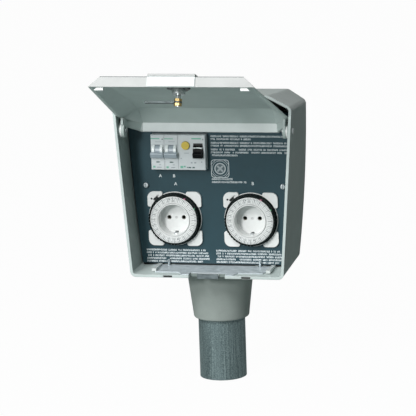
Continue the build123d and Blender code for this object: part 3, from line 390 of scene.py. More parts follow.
# A moulded face, slightly soiled, with a mark in another colour
moulded, start, end = new_effect(
    "moulded_skin",
    [
        ("Colour", "colour", (0.8, 0.8, 0.8, 1)),
        ("Mark", "value", 0.0),
        ("Mark colour", "colour", (0.2, 0.2, 0.2, 1)),
        ("Grain size", "value", 1500.0),
        ("Smoothness", "value", 0.35),
    ],
    [("Colour", "colour"), ("Roughness", "value"), ("Height", "value")],
)
place = add_node(moulded, "ShaderNodeTexCoord")
etched = add_node(
    moulded,
    "ShaderNodeTexNoise",
    {"Vector": place.outputs["Object"], "Scale": start.outputs["Grain size"], "Detail": 2.0},
)
soiled = add_node(
    moulded,
    "ShaderNodeTexNoise",
    {"Vector": place.outputs["Object"], "Scale": 70.0, "Detail": 4.0, "Roughness": 0.6},
)
tone = add_node(
    moulded,
    "ShaderNodeMapRange",
    {"Value": soiled.outputs[0], "From Min": 0.35, "From Max": 0.7, "To Min": 1.02, "To Max": 0.93},
)
body = add_node(
    moulded,
    "ShaderNodeVectorMath",
    {0: start.outputs["Colour"], "Scale": tone.outputs[0]},
    operation="SCALE",
)
marked = mix_colours(
    moulded, start.outputs["Mark"], body.outputs[0], start.outputs["Mark colour"]
)
rough = add_node(
    moulded,
    "ShaderNodeMath",
    {0: soiled.outputs[0], 1: 0.18, 2: start.outputs["Smoothness"]},
    operation="MULTIPLY_ADD",
)
moulded.links.new(marked, end.inputs["Colour"])
moulded.links.new(rough.outputs[0], end.inputs["Roughness"])
moulded.links.new(etched.outputs[0], end.inputs["Height"])


def moulded_finish(name, code, smoothness=0.3, grain=1500.0, bump=0.12, edge=0.0005):
    """Moulded plastic or rubber with a faint spark-etched grain."""
    made, tree, shader = new_finish(name)
    edges = use_effect(tree, worn_edges, {"Radius": edge})
    skin = use_effect(
        tree,
        moulded,
        {"Colour": paint(code), "Grain size": grain, "Smoothness": smoothness},
    )
    join_up(tree, shader, skin, edges, bump=bump, distance=0.0002)
    return made, tree, shader, skin


black_rubber = moulded_finish("black_rubber", "101213", 0.55, 700.0, 0.3)[0]
dress(["cable_grommet", "drain_plugs"], black_rubber)

# Hinge: two steel pins riveted through the side walls, each with a white nylon washer
# between the housing's boss and the lid's ear.
pin_steel = turned_finish("pin_steel", "7d8585", "b9bfbf", smoothness=0.3)
dress(["hinge_pin_left", "hinge_pin_right"], pin_steel)
dress(["hinge_washers"], moulded_finish("nylon", "f1f3f2", 0.35)[0])

# Floor: a sheet metal plate under two clips, with the steel strike for the lock below it,
# rubber edging in the lead notch and two plated pins that keep the panel's lower edge back.
plate_dark = "a5b0b4"
plate_pale = "d0d8dd"
# Stretches that draw a metal's streaks out along one axis
along_x, along_y, along_z = (0.1, 1, 1), (1, 0.1, 1), (1, 1, 0.2)
floor_sheet = turned_finish("floor_sheet", plate_dark, plate_pale, (0.05, 1, 1), 0.32, 0.3)
dress(["floor_plate"], floor_sheet)
# Painted shade: the strike's dark zinc and the edging's darker grey also stand in for the shade in
# the lead notch
dress(["lock_strike"], turned_finish("strike_zinc_and_shade", "4c5659", "757f82", along_x, 0.42, 0.4))
dress(["notch_edging"], moulded_finish("edging_rubber_and_shade", "6f7a77", 0.55, 700.0, 0.3)[0])
dress(["floor_clips"], turned_finish("clip_sheet", "b9c1c0", "d9dedd", along_y, 0.32, 0.3))
dress(["panel_stop_pins"], turned_finish("stop_pin_steel", "6f7b80", "cdd6da", along_z, 0.14))

# Front panel: aluminium sheet in dark blue-grey paint with white printed user notes. The
# notes are only rows of dots here, two letters name each timer and its breaker, and the
# panel's foot is painted black as painted shade of the gap where it stands on the floor plate.
panel_blue = "29424a"
foot_shade_black = "0b1214"
print_white = "dfe6e8"
ink_strength = 0.88
foot_shade_height = 0.0013
block_sockets = ("Left", "Top", "Width", "Rows", "Pitch", "Ragged", "Last")
# The value of each of these sockets, then the strength of the block's ink
# The upper blocks' weaker ink, 0.8, is painted shade, dimmer where the lid's shadow falls
print_blocks = [
    (-0.0005, 0.3199, 0.0970, 2.0, 0.00369, 0.0, 0.54, 0.8),
    (-0.0005, 0.3115, 0.1010, 2.0, 0.00369, 0.0, 1.0, 0.8),
    (-0.0005, 0.3029, 0.1010, 3.0, 0.00369, 0.0, 0.36, 0.8),
    (-0.0002, 0.2651, 0.0268, 1.0, 0.00390, 0.0, 1.0, 0.8),
    (-0.0002, 0.2612, 0.0448, 1.0, 0.00390, 0.0, 1.0, 0.8),
    (-0.0885, 0.1722, 0.0830, 5.0, 0.00370, 0.05, 0.88, 1.0),
    (0.0025, 0.1722, 0.0870, 5.0, 0.00370, 0.05, 0.93, 1.0),
]
glyph_pitch, glyph_fill, row_fill = 0.00158, 0.86, 0.62
dots_across, dots_high = 4.0, 8.0
word_gap_share, blank_dot_share = 0.11, 0.33
picture_x, picture_z = 0.0109, 0.2772
frame_corner, frame_line = 0.0038, 0.00032
stroke_at, stroke_line, stroke_reach, stroke_tone = 0.0168, 0.0004, 0.0036, 0.8
cross_line, cross_tone, hub_radius, hub_tone = 0.0017, 0.35, 0.0052, 0.1
# Radius, half width and strength of the picture's circles
picture_circles = [(0.0099, 0.00022, 0.8), (0.0066, 0.0008, 0.6)]
print_lift, print_thickness = 0.00006, 0.00003
letter_height, letter_bold = 0.0040, 0.00008
font_size_per_height = 1.35
# Letter, x and z
panel_words = [
    ("A", -0.0671, 0.2672),
    ("B", -0.0492, 0.2672),
    ("A", -0.0475, 0.2570),
    ("B", 0.0524, 0.2583),
]


def chance(tree, x, y, z=0.0):
    """A random value from 0 to 1 that three numbers fix."""
    place = add_node(tree, "ShaderNodeCombineXYZ", {"X": x, "Y": y, "Z": z})
    return add_node(
        tree, "ShaderNodeTexWhiteNoise", {"Vector": place.outputs[0]}, noise_dimensions="3D"
    ).outputs["Value"]


def flat_length(tree, first, second):
    """The length of a distance that is given by its two parts."""
    flat = add_node(tree, "ShaderNodeCombineXYZ", {"X": first, "Y": second})
    return add_node(
        tree, "ShaderNodeVectorMath", {0: flat.outputs[0]}, operation="LENGTH"
    ).outputs["Value"]


# Mask of rows of print: each row has places for glyphs, and each glyph is a few dots
printed_rows, start, end = new_effect(
    "printed_rows",
    [
        ("Left", "value", 0.0),
        ("Top", "value", 0.0),
        ("Width", "value", 0.1),
        ("Rows", "value", 2.0),
        ("Pitch", "value", 0.004),
        ("Ragged", "value", 0.2),
        ("Last", "value", 1.0),
    ],
    [("Mask", "value")],
)
tree, asked = printed_rows, start.outputs
axes = object_axes(tree)
below = maths(tree, "SUBTRACT", asked["Top"], axes["Z"])
line_count = maths(tree, "DIVIDE", below, asked["Pitch"])
line_number = maths(tree, "FLOOR", line_count)
in_line = maths(tree, "FRACT", line_count)
along = maths(tree, "SUBTRACT", axes["X"], asked["Left"])
glyph_count = maths(tree, "DIVIDE", along, glyph_pitch)
glyph_number = maths(tree, "FLOOR", glyph_count)
in_glyph = maths(tree, "FRACT", glyph_count)
glyph_chance = chance(tree, glyph_number, line_number, asked["Top"])
dot_x = maths(tree, "FLOOR", maths(tree, "MULTIPLY", in_glyph, dots_across))
dot_z = maths(tree, "FLOOR", maths(tree, "MULTIPLY", in_line, dots_high))
dot_chance = chance(
    tree,
    maths(tree, "MULTIPLY_ADD", glyph_number, dots_across, dot_x),
    maths(tree, "MULTIPLY_ADD", line_number, dots_high, dot_z),
    asked["Left"],
)
row_chance = chance(tree, line_number, asked["Top"])
row_share = maths(tree, "SUBTRACT", 1.0, maths(tree, "MULTIPLY", asked["Ragged"], row_chance))
last_row = maths(tree, "GREATER_THAN", line_number, maths(tree, "SUBTRACT", asked["Rows"], 1.5))
cut_row = maths(tree, "MULTIPLY", last_row, maths(tree, "SUBTRACT", row_share, asked["Last"]))
row_reach = maths(tree, "SUBTRACT", row_share, cut_row)
row_length = maths(tree, "MULTIPLY", asked["Width"], row_reach)
inked = maths(tree, "GREATER_THAN", line_number, -0.5)
for test in (
    maths(tree, "LESS_THAN", line_number, maths(tree, "SUBTRACT", asked["Rows"], 0.5)),
    maths(tree, "LESS_THAN", in_line, row_fill),
    maths(tree, "GREATER_THAN", along, 0.0),
    maths(tree, "LESS_THAN", along, row_length),
    maths(tree, "LESS_THAN", in_glyph, glyph_fill),
    maths(tree, "GREATER_THAN", glyph_chance, word_gap_share),
    maths(tree, "GREATER_THAN", dot_chance, blank_dot_share),
):
    inked = maths(tree, "MULTIPLY", inked, test)
tree.links.new(inked, end.inputs["Mask"])

# Mask of a line drawing of a timer: a rounded frame, circles and a cross in the middle
timer_picture, start, end = new_effect(
    "timer_picture",
    [("Middle X", "value", 0.0), ("Middle Z", "value", 0.0), ("Half", "value", 0.0113)],
    [("Mask", "value")],
)
tree, asked = timer_picture, start.outputs
axes = object_axes(tree)
from_x = maths(tree, "ABSOLUTE", maths(tree, "SUBTRACT", axes["X"], asked["Middle X"]))
from_z = maths(tree, "ABSOLUTE", maths(tree, "SUBTRACT", axes["Z"], asked["Middle Z"]))
straight = maths(tree, "SUBTRACT", asked["Half"], frame_corner)
to_corner = flat_length(
    tree,
    maths(tree, "MAXIMUM", maths(tree, "SUBTRACT", from_x, straight), 0.0),
    maths(tree, "MAXIMUM", maths(tree, "SUBTRACT", from_z, straight), 0.0),
)
to_middle = flat_length(tree, from_x, from_z)
diagonal = maths(tree, "ADD", from_x, from_z)
stroke = maths(
    tree,
    "MULTIPLY",
    maths(tree, "COMPARE", diagonal, stroke_at, stroke_line),
    maths(tree, "LESS_THAN", to_corner, stroke_reach),
)
cross = maths(tree, "COMPARE", from_x, from_z, cross_line)
hub = maths(
    tree,
    "MULTIPLY",
    maths(tree, "LESS_THAN", to_middle, hub_radius),
    maths(tree, "MULTIPLY_ADD", cross, cross_tone, hub_tone),
)
drawn = maths(tree, "COMPARE", to_corner, frame_corner, frame_line)
drawn = maths(tree, "MAXIMUM", drawn, maths(tree, "MULTIPLY", stroke, stroke_tone))
drawn = maths(tree, "MAXIMUM", drawn, hub)
for radius, half_width, strength in picture_circles:
    circle = maths(tree, "COMPARE", to_middle, radius, half_width)
    drawn = maths(tree, "MAXIMUM", drawn, maths(tree, "MULTIPLY", circle, strength))
tree.links.new(drawn, end.inputs["Mask"])

panel_finish, tree, shader = new_finish("panel_paint")
picture = use_effect(tree, timer_picture, {"Middle X": picture_x, "Middle Z": picture_z})
ink = picture.outputs["Mask"]
for *block, strength in print_blocks:
    rows = use_effect(tree, printed_rows, dict(zip(block_sockets, block)))
    faded = maths(tree, "MULTIPLY", rows.outputs["Mask"], strength)
    ink = maths(tree, "MAXIMUM", ink, faded)
# Painted shade: the panel's lowest strip is black, for the gap over the floor plate
panel_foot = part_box("front_panel")[0].z
in_foot_shade = maths(tree, "LESS_THAN", object_axes(tree)["Z"], panel_foot + foot_shade_height)
edges = use_effect(tree, worn_edges, {"Radius": 0.0004})
skin = use_effect(
    tree,
    moulded,
    {
        "Colour": mix_colours(tree, in_foot_shade, paint(panel_blue), paint(foot_shade_black)),
        "Mark": maths(tree, "MULTIPLY", ink, ink_strength),
        "Mark colour": paint(print_white),
        "Grain size": 1300.0,
        "Smoothness": 0.3,
    },
)
join_up(tree, shader, skin, edges, bump=0.12, distance=0.0002)
shader.inputs["Specular IOR Level"].default_value = 0.25
dress(["front_panel"], panel_finish)
dress(["panel_screws"], turned_finish("screw_nickel", "8f979b", "d0d5d8", smoothness=0.16))


def ink_finish(name, code):
    """Matt printing ink."""
    made, tree, shader = new_finish(name)
    skin = use_effect(
        tree, moulded, {"Colour": paint(code), "Grain size": 900.0, "Smoothness": 0.5}
    )
    join_up(tree, shader, skin, bump=0.1)
    return made


panel_face_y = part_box("front_panel")[0].y
white_print = ink_finish("white_print", print_white)


def deselect():
    """Nothing is selected afterwards."""
    bpy.ops.object.select_all(action="DESELECT")


def printed_word(word, x, z, face_y, height, finish, turn=0.0, bold=0.0):
    """Flat printed characters on an upright face that looks to the front, as a mesh."""
    deselect()
    bpy.ops.object.text_add(location=(0, 0, 0))
    text = bpy.context.object
    text.data.body = word
    text.data.size = height * font_size_per_height
    text.data.align_x = "CENTER"
    text.data.align_y = "CENTER"
    text.data.extrude = print_thickness
    text.data.offset = bold
    text.data.resolution_u = 3
    bpy.ops.object.convert(target="MESH")
    made = bpy.context.object
    made.data.transform(
        Matrix.Translation((x, face_y - print_lift, z))
        @ Matrix.Rotation(turn, 4, "Y")
        @ Matrix.Rotation(radians(90), 4, "X")
    )
    made.data.materials.clear()
    made.data.materials.append(finish)
    return made


def gather(pieces, name, body):
    """Joins copies to one piece that rides on a body."""
    deselect()
    for piece in pieces:
        piece.select_set(True)
    bpy.context.view_layer.objects.active = pieces[0]
    bpy.ops.object.join()
    made = bpy.context.object
    made.name = name
    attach(made, body)
    return made


letters = [
    printed_word(word, x, z, panel_face_y, letter_height, white_print, bold=letter_bold)
    for word, x, z in panel_words
]
gather(letters, "panel_letters", "head")

# Modular devices: two breakers and a two-module residual current device in pale grey
# moulding, clipped on a zinc plated rail, with rail terminals to their right. The breakers'
# levers have white ribs painted on as painted highlights of their drums' glossy sides, the
# toggle a white line, a black sheet over its slot's top as painted shade, and the small print is
# only bars.
device_grey = "c6ccce"
lever_blue = "9ba7af"
white_line_and_highlight = "dfe6e6"
breaker_pair_x, breaker_half_pitch = -0.05765, 0.0088
axle_y, axle_z = -0.0365, 0.3012
rib_start, drum_reach = 0.0034, 0.00965
toggle_line_z, toggle_line_half = 0.3061, 0.0007
nose_face_y = -0.042
device_moulding = moulded_finish("device_moulding", device_grey)[0]
dress(["breaker_a_body", "breaker_b_body", "residual_device_body"], device_moulding)
lever_finish, tree, shader, skin = moulded_finish("lever_moulding", lever_blue, 0.25)
axes = object_axes(tree)
from_pair = maths(tree, "ABSOLUTE", maths(tree, "SUBTRACT", axes["X"], breaker_pair_x))
from_lever = maths(tree, "ABSOLUTE", maths(tree, "SUBTRACT", from_pair, breaker_half_pitch))
from_axle = flat_length(
    tree,
    maths(tree, "SUBTRACT", axes["Y"], axle_y),
    maths(tree, "SUBTRACT", axes["Z"], axle_z),
)
# Painted highlight: pale ribs on the drums' sides stand in for their glints
rib_highlight = maths(
    tree,
    "MULTIPLY",
    maths(tree, "GREATER_THAN", from_lever, rib_start),
    maths(tree, "LESS_THAN", from_axle, drum_reach),
)
tree.links.new(rib_highlight, skin.inputs["Mark"])
skin.inputs["Mark colour"].default_value = paint(white_line_and_highlight)
dress(["breaker_a_lever", "breaker_b_lever"], lever_finish)

toggle_finish, tree, shader, skin = moulded_finish("toggle_moulding", "07090a", 0.45)
shader.inputs["Specular IOR Level"].default_value = 0.12
on_line = maths(tree, "COMPARE", object_axes(tree)["Z"], toggle_line_z, toggle_line_half)
tree.links.new(on_line, skin.inputs["Mark"])
skin.inputs["Mark colour"].default_value = paint(white_line_and_highlight)
dress(["residual_device_lever"], toggle_finish)
dress(["test_button"], moulded_finish("button_moulding", "cfb645", 0.28)[0])
dress(["rail_latches"], moulded_finish("latch_moulding", "a9b0b2", 0.4)[0])
dress(["rail_terminals"], moulded_finish("terminal_moulding", "8f9896", 0.45)[0])
dress(["din_rail"], turned_finish("rail_zinc", "8e9593", "b7bcba", (0.05, 1, 1), 0.3))
earth_brass = turned_finish("earth_brass", "8f7440", "c9ac6c", smoothness=0.28)
dress(["earth_stud", "earth_nuts"], earth_brass)


def printed_marks(name, places, face_y, code):
    """Small printed bars on an upright face: x, z, width and height of each."""
    finish = ink_finish(name, code)
    bars = []
    for x, z, width, height in places:
        deselect()
        bpy.ops.mesh.primitive_plane_add(size=1.0, location=(0, 0, 0))
        bar = bpy.context.object
        bar.data.transform(
            Matrix.Translation((x, face_y - print_lift, z))
            @ Matrix.Rotation(radians(90), 4, "X")
            @ Matrix.Diagonal((width, height, 1.0, 1.0))
        )
        bar.data.materials.append(finish)
        bars.append(bar)
    gather(bars, name, "head")


printed_marks(
    "green_marks",
    [
        (-0.0693, 0.3173, 0.0115, 0.0013),
        (-0.0518, 0.3172, 0.0115, 0.0011),
        (-0.0160, 0.3176, 0.0125, 0.0016),
        (-0.0715, 0.2812, 0.0030, 0.0024),
        (-0.0542, 0.2807, 0.0030, 0.0024),
        (-0.0357, 0.2812, 0.0036, 0.0030),
        (-0.0320, 0.2818, 0.0026, 0.0020),
    ],
    nose_face_y,
    "6fae98",
)
printed_marks(
    "dark_marks",
    [
        (-0.0668, 0.2874, 0.0036, 0.0016),
        (-0.0644, 0.2874, 0.0014, 0.0010),
        (-0.0494, 0.2872, 0.0036, 0.0016),
        (-0.0470, 0.2872, 0.0014, 0.0010),
        (-0.0600, 0.3166, 0.0016, 0.0014),
        (-0.0074, 0.3166, 0.0010, 0.0018),
        (-0.0285, 0.2807, 0.0012, 0.0014),
        (-0.0255, 0.2806, 0.0036, 0.0016),
        (-0.0205, 0.2806, 0.0030, 0.0016),
    ],
    nose_face_y,
    "3f5a58",
)
# Painted shade: a black sheet across the top of the toggle's slot darkens its recess
printed_marks("window_shade_sheet", [(-0.0139, 0.3103, 0.0122, 0.0027)], nose_face_y, "0f1314")
printed_marks(
    "faint_marks",
    [
        (-0.0640, 0.2838, 0.0026, 0.0009),
        (-0.0650, 0.2806, 0.0060, 0.0012),
        (-0.0462, 0.2838, 0.0026, 0.0009),
        (-0.0470, 0.2804, 0.0050, 0.0012),
        (-0.0292, 0.2990, 0.0060, 0.0008),
        (-0.0362, 0.2922, 0.0018, 0.0012),
        (-0.0228, 0.2868, 0.0022, 0.0018),
        (-0.0182, 0.2868, 0.0026, 0.0018),
        (-0.0098, 0.2878, 0.0016, 0.0016),
        (-0.0478, 0.3135, 0.0080, 0.0006),
        (-0.0655, 0.3132, 0.0080, 0.0006),
    ],
    nose_face_y,
    "959ea3",
)

# Timers: a white base and socket with a dial that turns round it, in a black ring of
# tappets. The dial has a day's hours and ticks, printed in grey, and a grey ring painted at
# its inner edge as painted shade of the gap round the socket. The ring has a red and a green
# mark and paler bands painted as highlights on its tappets, and the base a dark spot painted
# as the shade in a reset hole.
timer_white = "dddfde"
ring_black = "0b1111"
tick_grey = "50575c"
number_grey = "50575a"
glint_grey = "1d2626"
mark_green = "5f9b78"
mark_red = "c27b96"
hole_shade_grey = "24292a"
timer_middles = {"a": -0.0494, "b": 0.0494}
timer_z = 0.2123
number_circle, number_height = 0.0248, 0.0021
hour_step = 15
# Count, inner and outer reach, width as a share of the spacing, and strength of the ink
dial_marks_and_edge_shade = [
    (96.0, 0.0272, 0.0297, 0.36, 0.9),
    (24.0, 0.0262, 0.0297, 0.13, 0.9),
    (72.0, 0.0226, 0.0270, 0.42, 0.42),
    # Painted shade: a grey ring at the dial's inner edge, by the gap round the socket
    (1.0, 0.0, 0.0219, 1.1, 0.3),
]
# Painted highlight: paler bands on the tappets stand in for their glints
tappet_glints = (48.0, 0.0306, 0.0340, 0.5)
# Angle up from the right, distance from the timer's middle, and radius
dial_dots = [(100.0, 0.0272, 0.0008), (-79.0, 0.0252, 0.0008)]
red_spot = (61.0, 0.0308, 0.0012)
green_spot = (28.0, 0.0308, 0.0010)
# Painted shade: a dark spot where the reset hole is
reset_hole_shade = (139.0, 0.0392, 0.0013)
socket_dot, socket_dot_strength = (0.0, 0.0, 0.0018), 0.3
# Half a tick on, so that a tick has its middle on the angle, and enough turns to stay positive
tick_shift = 200.5
ring_moulding = moulded_finish("ring_moulding", ring_black, 0.2)[0]
case_moulding = moulded_finish("case_moulding", "c9cccb", 0.45)[0]
contact_brass = turned_finish("contact_brass", "4d4c42", "8a8570", (1, 0.2, 1), 0.25)
clip_nickel = turned_finish("clip_nickel", "a9aeb0", "dfe2e3", along_z, 0.2)

# Mask of evenly spaced marks on a circle
dial_ticks, start, end = new_effect(
    "dial_ticks",
    [
        ("Middle X", "value", 0.0),
        ("Middle Z", "value", 0.0),
        ("Count", "value", 96.0),
        ("Inner", "value", 0.0285),
        ("Outer", "value", 0.0298),
        ("Width", "value", 0.2),
    ],
    [("Mask", "value")],
)
tree, asked = dial_ticks, start.outputs
axes = object_axes(tree)
from_x = maths(tree, "SUBTRACT", axes["X"], asked["Middle X"])
from_z = maths(tree, "SUBTRACT", axes["Z"], asked["Middle Z"])
reach = flat_length(tree, from_x, from_z)
angle = maths(tree, "DIVIDE", maths(tree, "ARCTAN2", from_z, from_x), 2 * pi)
tick_count = maths(tree, "ADD", maths(tree, "MULTIPLY", angle, asked["Count"]), tick_shift)
in_tick = maths(tree, "FRACT", tick_count)
off_middle = maths(tree, "ABSOLUTE", maths(tree, "SUBTRACT", in_tick, 0.5))
ticked = maths(tree, "LESS_THAN", off_middle, maths(tree, "MULTIPLY", asked["Width"], 0.5))
for test in (
    maths(tree, "GREATER_THAN", reach, asked["Inner"]),
    maths(tree, "LESS_THAN", reach, asked["Outer"]),
):
    ticked = maths(tree, "MULTIPLY", ticked, test)
tree.links.new(ticked, end.inputs["Mask"])

# Mask of one round spot
spotted, start, end = new_effect(
    "spotted",
    [("Middle X", "value", 0.0), ("Middle Z", "value", 0.0), ("Radius", "value", 0.001)],
    [("Mask", "value")],
)
tree, asked = spotted, start.outputs
axes = object_axes(tree)
to_spot = flat_length(
    tree,
    maths(tree, "SUBTRACT", axes["X"], asked["Middle X"]),
    maths(tree, "SUBTRACT", axes["Z"], asked["Middle Z"]),
)
tree.links.new(maths(tree, "LESS_THAN", to_spot, asked["Radius"]), end.inputs["Mask"])


def spot_mask(tree, middle, degrees_up, circle, radius):
    """Mask of a round spot on a timer's face, at an angle and a distance from its middle."""
    turn = radians(degrees_up)
    place = {"Middle X": middle + circle * cos(turn), "Middle Z": timer_z + circle * sin(turn)}
    return use_effect(tree, spotted, {**place, "Radius": radius}).outputs["Mask"]


def marks_mask(tree, middle, count, inner, outer, width):
    """Mask of a circle of marks round a timer's middle."""
    asked = {"Count": count, "Inner": inner, "Outer": outer, "Width": width}
    place = {"Middle X": middle, "Middle Z": timer_z}
    return use_effect(tree, dial_ticks, {**place, **asked}).outputs["Mask"]


grey_print = ink_finish("grey_print", number_grey)

for label, middle in timer_middles.items():
    dial_finish, tree, shader, skin = moulded_finish(f"dial_moulding_{label}", timer_white, 0.3)
    ink = maths(tree, "MAXIMUM", *(spot_mask(tree, middle, *dot) for dot in dial_dots))
    for *marks, strength in dial_marks_and_edge_shade:
        faded = maths(tree, "MULTIPLY", marks_mask(tree, middle, *marks), strength)
        ink = maths(tree, "MAXIMUM", ink, faded)
    tree.links.new(ink, skin.inputs["Mark"])
    skin.inputs["Mark colour"].default_value = paint(tick_grey)
    dress([f"timer_{label}_dial"], dial_finish)

    ring_finish, tree, shader, skin = moulded_finish(f"ring_moulding_{label}", ring_black, 0.35)
    shader.inputs["Specular IOR Level"].default_value = 0.1
    red = spot_mask(tree, middle, *red_spot)
    green = spot_mask(tree, middle, *green_spot)
    # Paler bands on the tappets are painted highlights
    glints = marks_mask(tree, middle, *tappet_glints)
    marked = maths(tree, "MAXIMUM", maths(tree, "MAXIMUM", red, green), glints)
    tree.links.new(marked, skin.inputs["Mark"])
    toned = mix_colours(tree, green, paint(glint_grey), paint(mark_green))
    toned = mix_colours(tree, red, toned, paint(mark_red))
    tree.links.new(toned, skin.inputs["Mark colour"])
    dress([f"timer_{label}_tappet_ring"], ring_finish)

    base_finish, tree, shader, skin = moulded_finish(f"base_moulding_{label}", timer_white, 0.3)
    # Painted shade of the reset hole
    tree.links.new(spot_mask(tree, middle, *reset_hole_shade), skin.inputs["Mark"])
    skin.inputs["Mark colour"].default_value = paint(hole_shade_grey)
    dress([f"timer_{label}_base"], base_finish)

    socket_finish, tree, shader, skin = moulded_finish(
        f"socket_moulding_{label}", timer_white, 0.3
    )
    dotted = maths(tree, "MULTIPLY", spot_mask(tree, middle, *socket_dot), socket_dot_strength)
    tree.links.new(dotted, skin.inputs["Mark"])
    dress([f"timer_{label}_socket"], socket_finish)
    dress([f"timer_{label}_switch"], ring_moulding)
    dress([f"timer_{label}_case", f"timer_{label}_case_frame"], case_moulding)
    dress([f"timer_{label}_contacts"], contact_brass)
    dress([f"timer_{label}_earth_clips"], clip_nickel)
    dial_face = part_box(f"timer_{label}_dial")[0].y
    numbers = []
    for hour in range(1, 25):
        turn = radians(90 - hour_step * hour)
        numbers.append(
            printed_word(
                str(hour),
                middle + number_circle * cos(turn),
                timer_z + number_circle * sin(turn),
                dial_face,
                number_height,
                grey_print,
                radians(hour_step * hour),
            )
        )
    gather(numbers, f"dial_numbers_{label}", f"timer_{label}_dial")

# Lid: an aluminium casting like the housing, shown open. It has a raised grip round the
# lock, white rubber bumpers in its lower corners and ears for the hinge pins. Its grip is
# painted pale, its neck pale as painted light, its end is a plainer grey, and dark lines of
# painted shade follow the groove and the outer edge of the end's lip.
lid_grey = "aebab7"
lid_pale_and_painted_light = "d9dfde"
lid_end_grey = "b2b4b3"
lid_shade_grey = "4a5453"
hinge_y, hinge_z = -0.065, 0.332
# Shares of Y and Z in the lid's own directions, down it and out of its face
lid_down, lid_out = (-0.9272, 0.3746), (0.3746, 0.9272)
end_from, grip_half = 0.1828, 0.0292
grip_inner, groove_middle, groove_half, grip_outer = 0.0270, 0.0272, 0.0003, 0.0297
end_outer = 0.0262
neck_until, neck_inner = -0.0245, 0.0150
lid_finish = cast_finish("lid_paint", lid_grey, 0.06)
tree = lid_finish.node_tree
axes = object_axes(tree)
behind = maths(tree, "SUBTRACT", axes["Y"], hinge_y)
above = maths(tree, "SUBTRACT", axes["Z"], hinge_z)
down_lid, out_lid = [
    maths(tree, "ADD", maths(tree, "MULTIPLY", behind, y), maths(tree, "MULTIPLY", above, z))
    for y, z in (lid_down, lid_out)
]
in_grip = maths(tree, "LESS_THAN", maths(tree, "ABSOLUTE", axes["X"]), grip_half)
on_end = maths(tree, "GREATER_THAN", down_lid, end_from)
under_lip = maths(tree, "LESS_THAN", out_lid, grip_inner)
on_grip = maths(tree, "MULTIPLY", maths(tree, "MULTIPLY", on_end, in_grip), under_lip)
grip_shade_lines = maths(
    tree,
    "MAXIMUM",
    maths(tree, "COMPARE", out_lid, groove_middle, groove_half),
    maths(tree, "GREATER_THAN", out_lid, grip_outer),
)
end_shade_line = maths(tree, "GREATER_THAN", out_lid, end_outer)
line = add_node(
    tree, "ShaderNodeMix", {0: in_grip, 2: end_shade_line, 3: grip_shade_lines}, data_type="FLOAT"
).outputs[0]
on_neck = maths(
    tree,
    "MULTIPLY",
    maths(tree, "LESS_THAN", down_lid, neck_until),
    maths(tree, "LESS_THAN", out_lid, neck_inner),
)
# Painted light on the neck; the grip is painted pale too
repaint_where(lid_finish, on_end, lid_end_grey)
repaint_where(lid_finish, maths(tree, "MAXIMUM", on_grip, on_neck), lid_pale_and_painted_light)
# Painted shade along the groove and the outer edge of the end's lip
repaint_where(lid_finish, maths(tree, "MULTIPLY", on_end, line), lid_shade_grey)
dress(["lid"], lid_finish)
dress(["lid_bumpers"], moulded_finish("white_rubber", "f4f5f4", 0.5, 700.0, 0.3)[0])

# Lock: a chromed barrel with its nut, a plug that turns with the key, and a steel lever
# held on the spindle between two brass nuts.
lock_chrome = turned_finish("lock_chrome", "9aa0a0", "dfe3e3", smoothness=0.18)
dark_chrome = turned_finish("dark_chrome", "1e2425", "4c5455", smoothness=0.2, metallic=0.7)
dress(["lock_barrel", "lock_plug"], lock_chrome)
dress(["lock_barrel_nut"], dark_chrome)
dress(["lock_lever"], turned_finish("lever_steel", "3a4142", "6a7374", along_x, 0.35, 0.7))
dress(["lock_brass_nuts"], turned_finish("lock_brass", "8c7648", "c8b07c", smoothness=0.3))

# Stage: a pale floor that keeps the shadow, a white surround for the camera, soft lamps
# from the front left and above, and the photograph's camera.
surround_tint, surround_strength = (0.80, 1.0, 0.97, 1), 0.03
floor_size, floor_gap = 8.0, 0.0005
floor_tone, floor_glow = (0.40, 0.46, 0.45, 1), 0.975
aim = Vector((-0.006454, -0.030, 0.226253))
camera_turn, camera_lift, camera_roll = radians(13.2), radians(11.7), radians(-1.9)
camera_distance, camera_lens = 3.2956, 225.0
surround = bpy.data.worlds.new("surround")
bpy.context.scene.world = surround
surround.use_nodes = True
tree = surround.node_tree
tree.nodes.clear()
path = add_node(tree, "ShaderNodeLightPath")
seen = maths(
    tree,
    "ADD",
    path.outputs["Is Camera Ray"],
    maths(tree, "ADD", path.outputs["Is Glossy Ray"], path.outputs["Is Transmission Ray"]),
    clamp=True,
)
soft = add_node(
    tree, "ShaderNodeBackground", {"Color": surround_tint, "Strength": surround_strength}
)
white = add_node(tree, "ShaderNodeBackground", {"Color": (1, 1, 1, 1), "Strength": 1.0})
mixed = add_node(tree, "ShaderNodeMixShader", {0: seen, 1: soft.outputs[0], 2: white.outputs[0]})
add_node(tree, "ShaderNodeOutputWorld", {"Surface": mixed.outputs[0]})

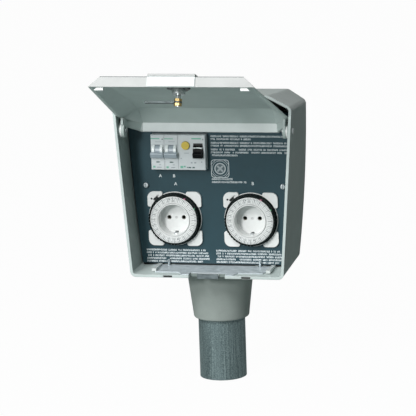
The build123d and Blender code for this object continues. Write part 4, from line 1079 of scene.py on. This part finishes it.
deselect()
bpy.ops.mesh.primitive_plane_add(
    size=floor_size, location=(0, 0, cad_box[0][2] - floor_gap)
)
floor = bpy.context.object
floor.name = "floor"
floor_finish, tree, shader = new_finish("pale_floor")
shader.inputs["Base Color"].default_value = floor_tone
shader.inputs["Roughness"].default_value = 0.9
path = add_node(tree, "ShaderNodeLightPath")
glow = add_node(tree, "ShaderNodeEmission", {"Color": (1, 1, 1, 1), "Strength": 1.0})
glowing = maths(tree, "MULTIPLY", path.outputs["Is Camera Ray"], floor_glow)
mixed = add_node(
    tree, "ShaderNodeMixShader", {0: glowing, 1: shader.outputs[0], 2: glow.outputs[0]}
)
tree.links.new(mixed.outputs[0], tree.nodes["Material Output"].inputs["Surface"])
floor.data.materials.append(floor_finish)


def soft_lamp(name, place, size, power):
    """A square area lamp that looks where the camera looks."""
    lamp = bpy.data.lights.new(name, "AREA")
    lamp.size = size
    lamp.energy = power
    made = bpy.data.objects.new(name, lamp)
    bpy.context.scene.collection.objects.link(made)
    made.location = place
    made.rotation_euler = (Vector(place) - aim).to_track_quat("Z", "Y").to_euler()


soft_lamp("high_lamp", (0.0, -2.0, 2.2), 0.7, 29.0)
soft_lamp("key_lamp", (-0.72, -2.24, 1.8), 0.5, 20.0)
soft_lamp("left_lamp", (-1.4, -1.6, 1.9), 0.7, 15.0)
soft_lamp("low_lamp", (-0.8, -2.4, 1.02), 0.4, 32.0)

back = Vector(
    (
        sin(camera_turn) * cos(camera_lift),
        -cos(camera_turn) * cos(camera_lift),
        sin(camera_lift),
    )
)
right = Vector((cos(camera_turn), sin(camera_turn), 0))
above = back.cross(right)
side = right * cos(camera_roll) + above * sin(camera_roll)
top = above * cos(camera_roll) - right * sin(camera_roll)
camera_data = bpy.data.cameras.new("camera")
camera_data.sensor_width = 36.0
camera_data.lens = camera_lens
camera_data.clip_end = 50.0
camera = bpy.data.objects.new("camera", camera_data)
bpy.context.scene.collection.objects.link(camera)
spot = aim + back * camera_distance
camera.matrix_world = Matrix(
    (
        (side.x, top.x, back.x, spot.x),
        (side.y, top.y, back.y, spot.y),
        (side.z, top.z, back.z, spot.z),
        (0, 0, 0, 1),
    )
)
bpy.context.scene.camera = camera
bpy.context.scene.view_settings.view_transform = "Standard"
